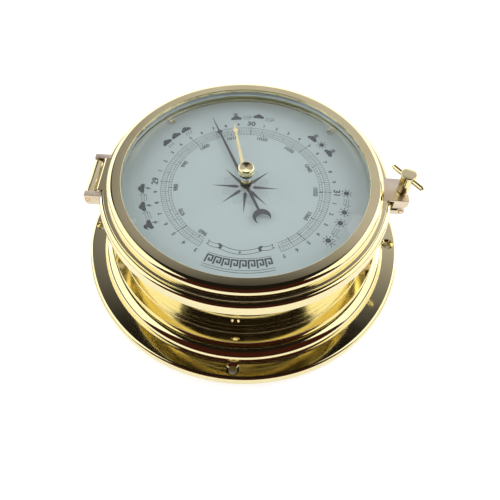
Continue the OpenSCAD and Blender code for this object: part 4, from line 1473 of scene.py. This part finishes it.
    def build(self) -> None:
        """Prints the dial and dresses the plate and its screws."""
        dress("dial_plate", Finish.DIAL)
        weather = Sheet(self.face)
        for row in self.rows:
            row.draw_all(weather)
        ring = Sheet(self.face, 0.02)
        ring.band(self.hub_ring, self.hub_ring + 1.3)
        prints = [
            ("dial_scales", self.scales(), Finish.INK),
            ("dial_numbers", self.numbers(), Finish.INK),
            ("dial_rose", self.rose(), Finish.INK),
            ("dial_rose_feathers", self.feathers(), Finish.FAINT_INK),
            ("dial_rose_ring", ring, Finish.ROSE_RING),
            ("dial_ornament", self.ornament(), Finish.INK),
            ("dial_weather_signs", weather, Finish.INK),
        ]
        for name, sheet, finish in prints:
            piece = sheet.piece(name)
            outward(piece)
            place(piece, "case", [finish])
        dress("dial_screws", Finish.NICKEL, 0.08)


@dataclass
class Movement:
    """The pointer and the aneroid movement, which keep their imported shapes."""

    finishes: dict[Finish, list[str]] = field(default_factory=lambda: {
        Finish.BLACK: ["pointer", "pointer_hub"],
        Finish.STEEL: ["pointer_arbor", "dial_foot_nuts", "sector_arbor", "sector_pin", "rocker_shaft",
                       "capsule_link", "adjusting_screw"],
        Finish.BLUED: ["hairspring", "plate_screws", "frame_screws"],
        Finish.BRASS: ["hairspring_collet", "hairspring_stud", "dial_feet", "plate_pillars",
                       "frame_pillars", "rocker_hangers", "rocker_arm", "rocker_crank", "capsule_foot"],
        Finish.PLATE_BRASS: ["front_plate", "rear_plate", "base_plate", "sector_gear"],
        Finish.NICKEL: ["aneroid_capsule"],
    })

    def build(self) -> None:
        """Dresses every piece of the movement."""
        eased = {"pointer": 0.07, "pointer_hub": 0.15}
        for finish, nodes in self.finishes.items():
            for node in nodes:
                dress(node, finish, eased.get(node, 0.0))


# The studio


@dataclass
class Studio:
    """Camera, floor, surroundings and lamps."""

    azimuth: float = 1.76
    elevation: float = 55.585
    roll: float = 2.396
    distance: float = 0.28082
    target: tuple[float, float, float] = (0.00444, -0.02759, 0.030)
    lens: float = 38.88
    sensor: float = 36.0
    floor_r: float = 4.0
    floor_glow: float = 0.72
    # radii in metres of the painted shade under the flange: the floor's glow is nothing inside the first
    # and full outside the second
    seat: Point2 = (0.083, 0.0885)
    lamp_aim: tuple[float, float, float] = (0.0, 0.0, 0.03)
    softbox_size: Point2 = (0.78, 0.70)
    softbox_watts: float = 2.3

    def camera(self) -> None:
        """Stands the camera where the photograph was taken from."""
        a, e, r = (math.radians(v) for v in (self.azimuth, self.elevation, self.roll))
        back = Vector((math.sin(a) * math.cos(e), -math.cos(a) * math.cos(e), math.sin(e)))
        right = Vector((math.cos(a), math.sin(a), 0))
        up = back.cross(right)
        across = right * math.cos(r) + up * math.sin(r)
        upright = up * math.cos(r) - right * math.sin(r)
        data = bpy.data.cameras.new("photo_camera")
        data.lens, data.sensor_width, data.sensor_fit = self.lens, self.sensor, "HORIZONTAL"
        data.clip_start, data.clip_end = 0.01, 50.0
        holder = bpy.data.objects.new("photo_camera", data)
        bpy.context.scene.collection.objects.link(holder)
        turn = Matrix((across, upright, back)).transposed().to_4x4()
        holder.matrix_world = Matrix.Translation(Vector(self.target) + back * self.distance) @ turn
        bpy.context.scene.camera = holder

    def floor(self) -> None:
        """A plain white floor that keeps the object's shadow, with painted shade under the flange: its glow
        fades to nothing inside the flange's radius.
        """
        steps, radius = 64, self.floor_r / MM
        ring = [(radius * math.cos(math.tau * k / steps), radius * math.sin(math.tau * k / steps), 0)
                for k in range(steps)]
        floor = make_mesh("floor", ring, [tuple(range(steps))])
        g = Graph("white_floor")
        speck = g.spread(g.noise(6.0, 3.0), 0.0, 1.0)
        g.surface({"Base Color": g.blend(speck, (0.80, 0.80, 0.80), (0.78, 0.78, 0.78)), "Roughness": 0.7,
                   "Specular IOR Level": 0.2})
        from_middle = g.add("ShaderNodeVectorMath", {0: g.spot()}, operation="LENGTH").outputs["Value"]
        # painted shade: the floor's glow fades out under the flange, so the floor there and through the
        # flange's holes shows dark
        clear = g.spread(from_middle, 0.0, self.floor_glow, *self.seat)
        glow = g.maths("MULTIPLY", g.seen("Is Glossy Ray"), clear)
        g.surface({"Emission Color": (1.0, 1.0, 1.0), "Emission Strength": glow})
        floor.data.materials.append(g.material)

    def surroundings(self) -> None:
        """The room that the brass mirrors: grey ahead, pale low down, dark above, warm and dim behind."""
        world = bpy.data.worlds.new("studio_room")
        bpy.context.scene.world = world
        world.use_nodes = True
        g = Nodes(world.node_tree)
        split = g.add("ShaderNodeSeparateXYZ", {0: g.add("ShaderNodeTexCoord").outputs["Generated"]})
        x, y, z = split.outputs
        near, far = (0.045, 0.012, 0.008), (0.56, 0.54, 0.62)
        dark, pale, white = (0.012, 0.010, 0.009), (1.5, 1.5, 1.7), (1.0, 1.0, 1.0)
        middle = g.maths("MULTIPLY", g.ramp(x, -0.45, -0.10), g.ramp(x, 0.65, 0.50))
        ahead = g.maths("MULTIPLY", g.ramp(y, 0.22, 0.42), middle)
        low_ahead = g.maths("MULTIPLY", g.ramp(z, 0.62, 0.54), g.ramp(y, 0.30, 0.50))
        room = g.blend(g.ramp(y, -0.35, -0.10), near, dark)
        overhead, horizon = g.ramp(z, 0.76, 0.89), g.ramp(z, 0.06, 0.0)
        layers = ((ahead, far), (overhead, dark), (low_ahead, pale), (horizon, pale), (g.seen(), white))
        for share, colour in layers:
            room = g.blend(share, room, colour)
        background = g.add("ShaderNodeBackground", {0: room, 1: 1.0})
        output = g.add("ShaderNodeOutputWorld")
        g.tree.links.new(background.outputs[0], output.inputs[0])

    def softbox(self, name: str, place_at: tuple[float, float, float]) -> None:
        """A soft lamp at a place in metres, facing the object.

        Args:
            name: The lamp's name.
            place_at: Its place in metres.
        """
        data = bpy.data.lights.new(name, "AREA")
        data.shape, data.energy = "RECTANGLE", self.softbox_watts
        data.size, data.size_y = self.softbox_size
        lamp = bpy.data.objects.new(name, data)
        bpy.context.scene.collection.objects.link(lamp)
        lamp.location = place_at
        lamp.rotation_mode = "QUATERNION"
        lamp.rotation_quaternion = (Vector(place_at) - Vector(self.lamp_aim)).to_track_quat("Z", "Y")
        lamp.visible_camera = False

    def build(self) -> None:
        """Sets up the studio."""
        self.camera()
        self.floor()
        self.surroundings()
        self.softbox("left_softbox", (-0.61, -0.03, 0.46))
        self.softbox("right_softbox", (0.605, 0.07, 0.46))
        bpy.context.scene.view_settings.view_transform = "Standard"


def main() -> None:
    """Builds the studio and the barometer, sub-assembly by sub-assembly."""
    logging.basicConfig(level=logging.INFO, format="%(name)s: %(message)s")
    Studio().build()
    for part in (Case(), Hinge(), Clasp(), Bezel(), SetHand(), Dial(), Movement()):
        part.build()
        LOG.info("%s is built", type(part).__name__)


if __name__ == "__main__":
    main()
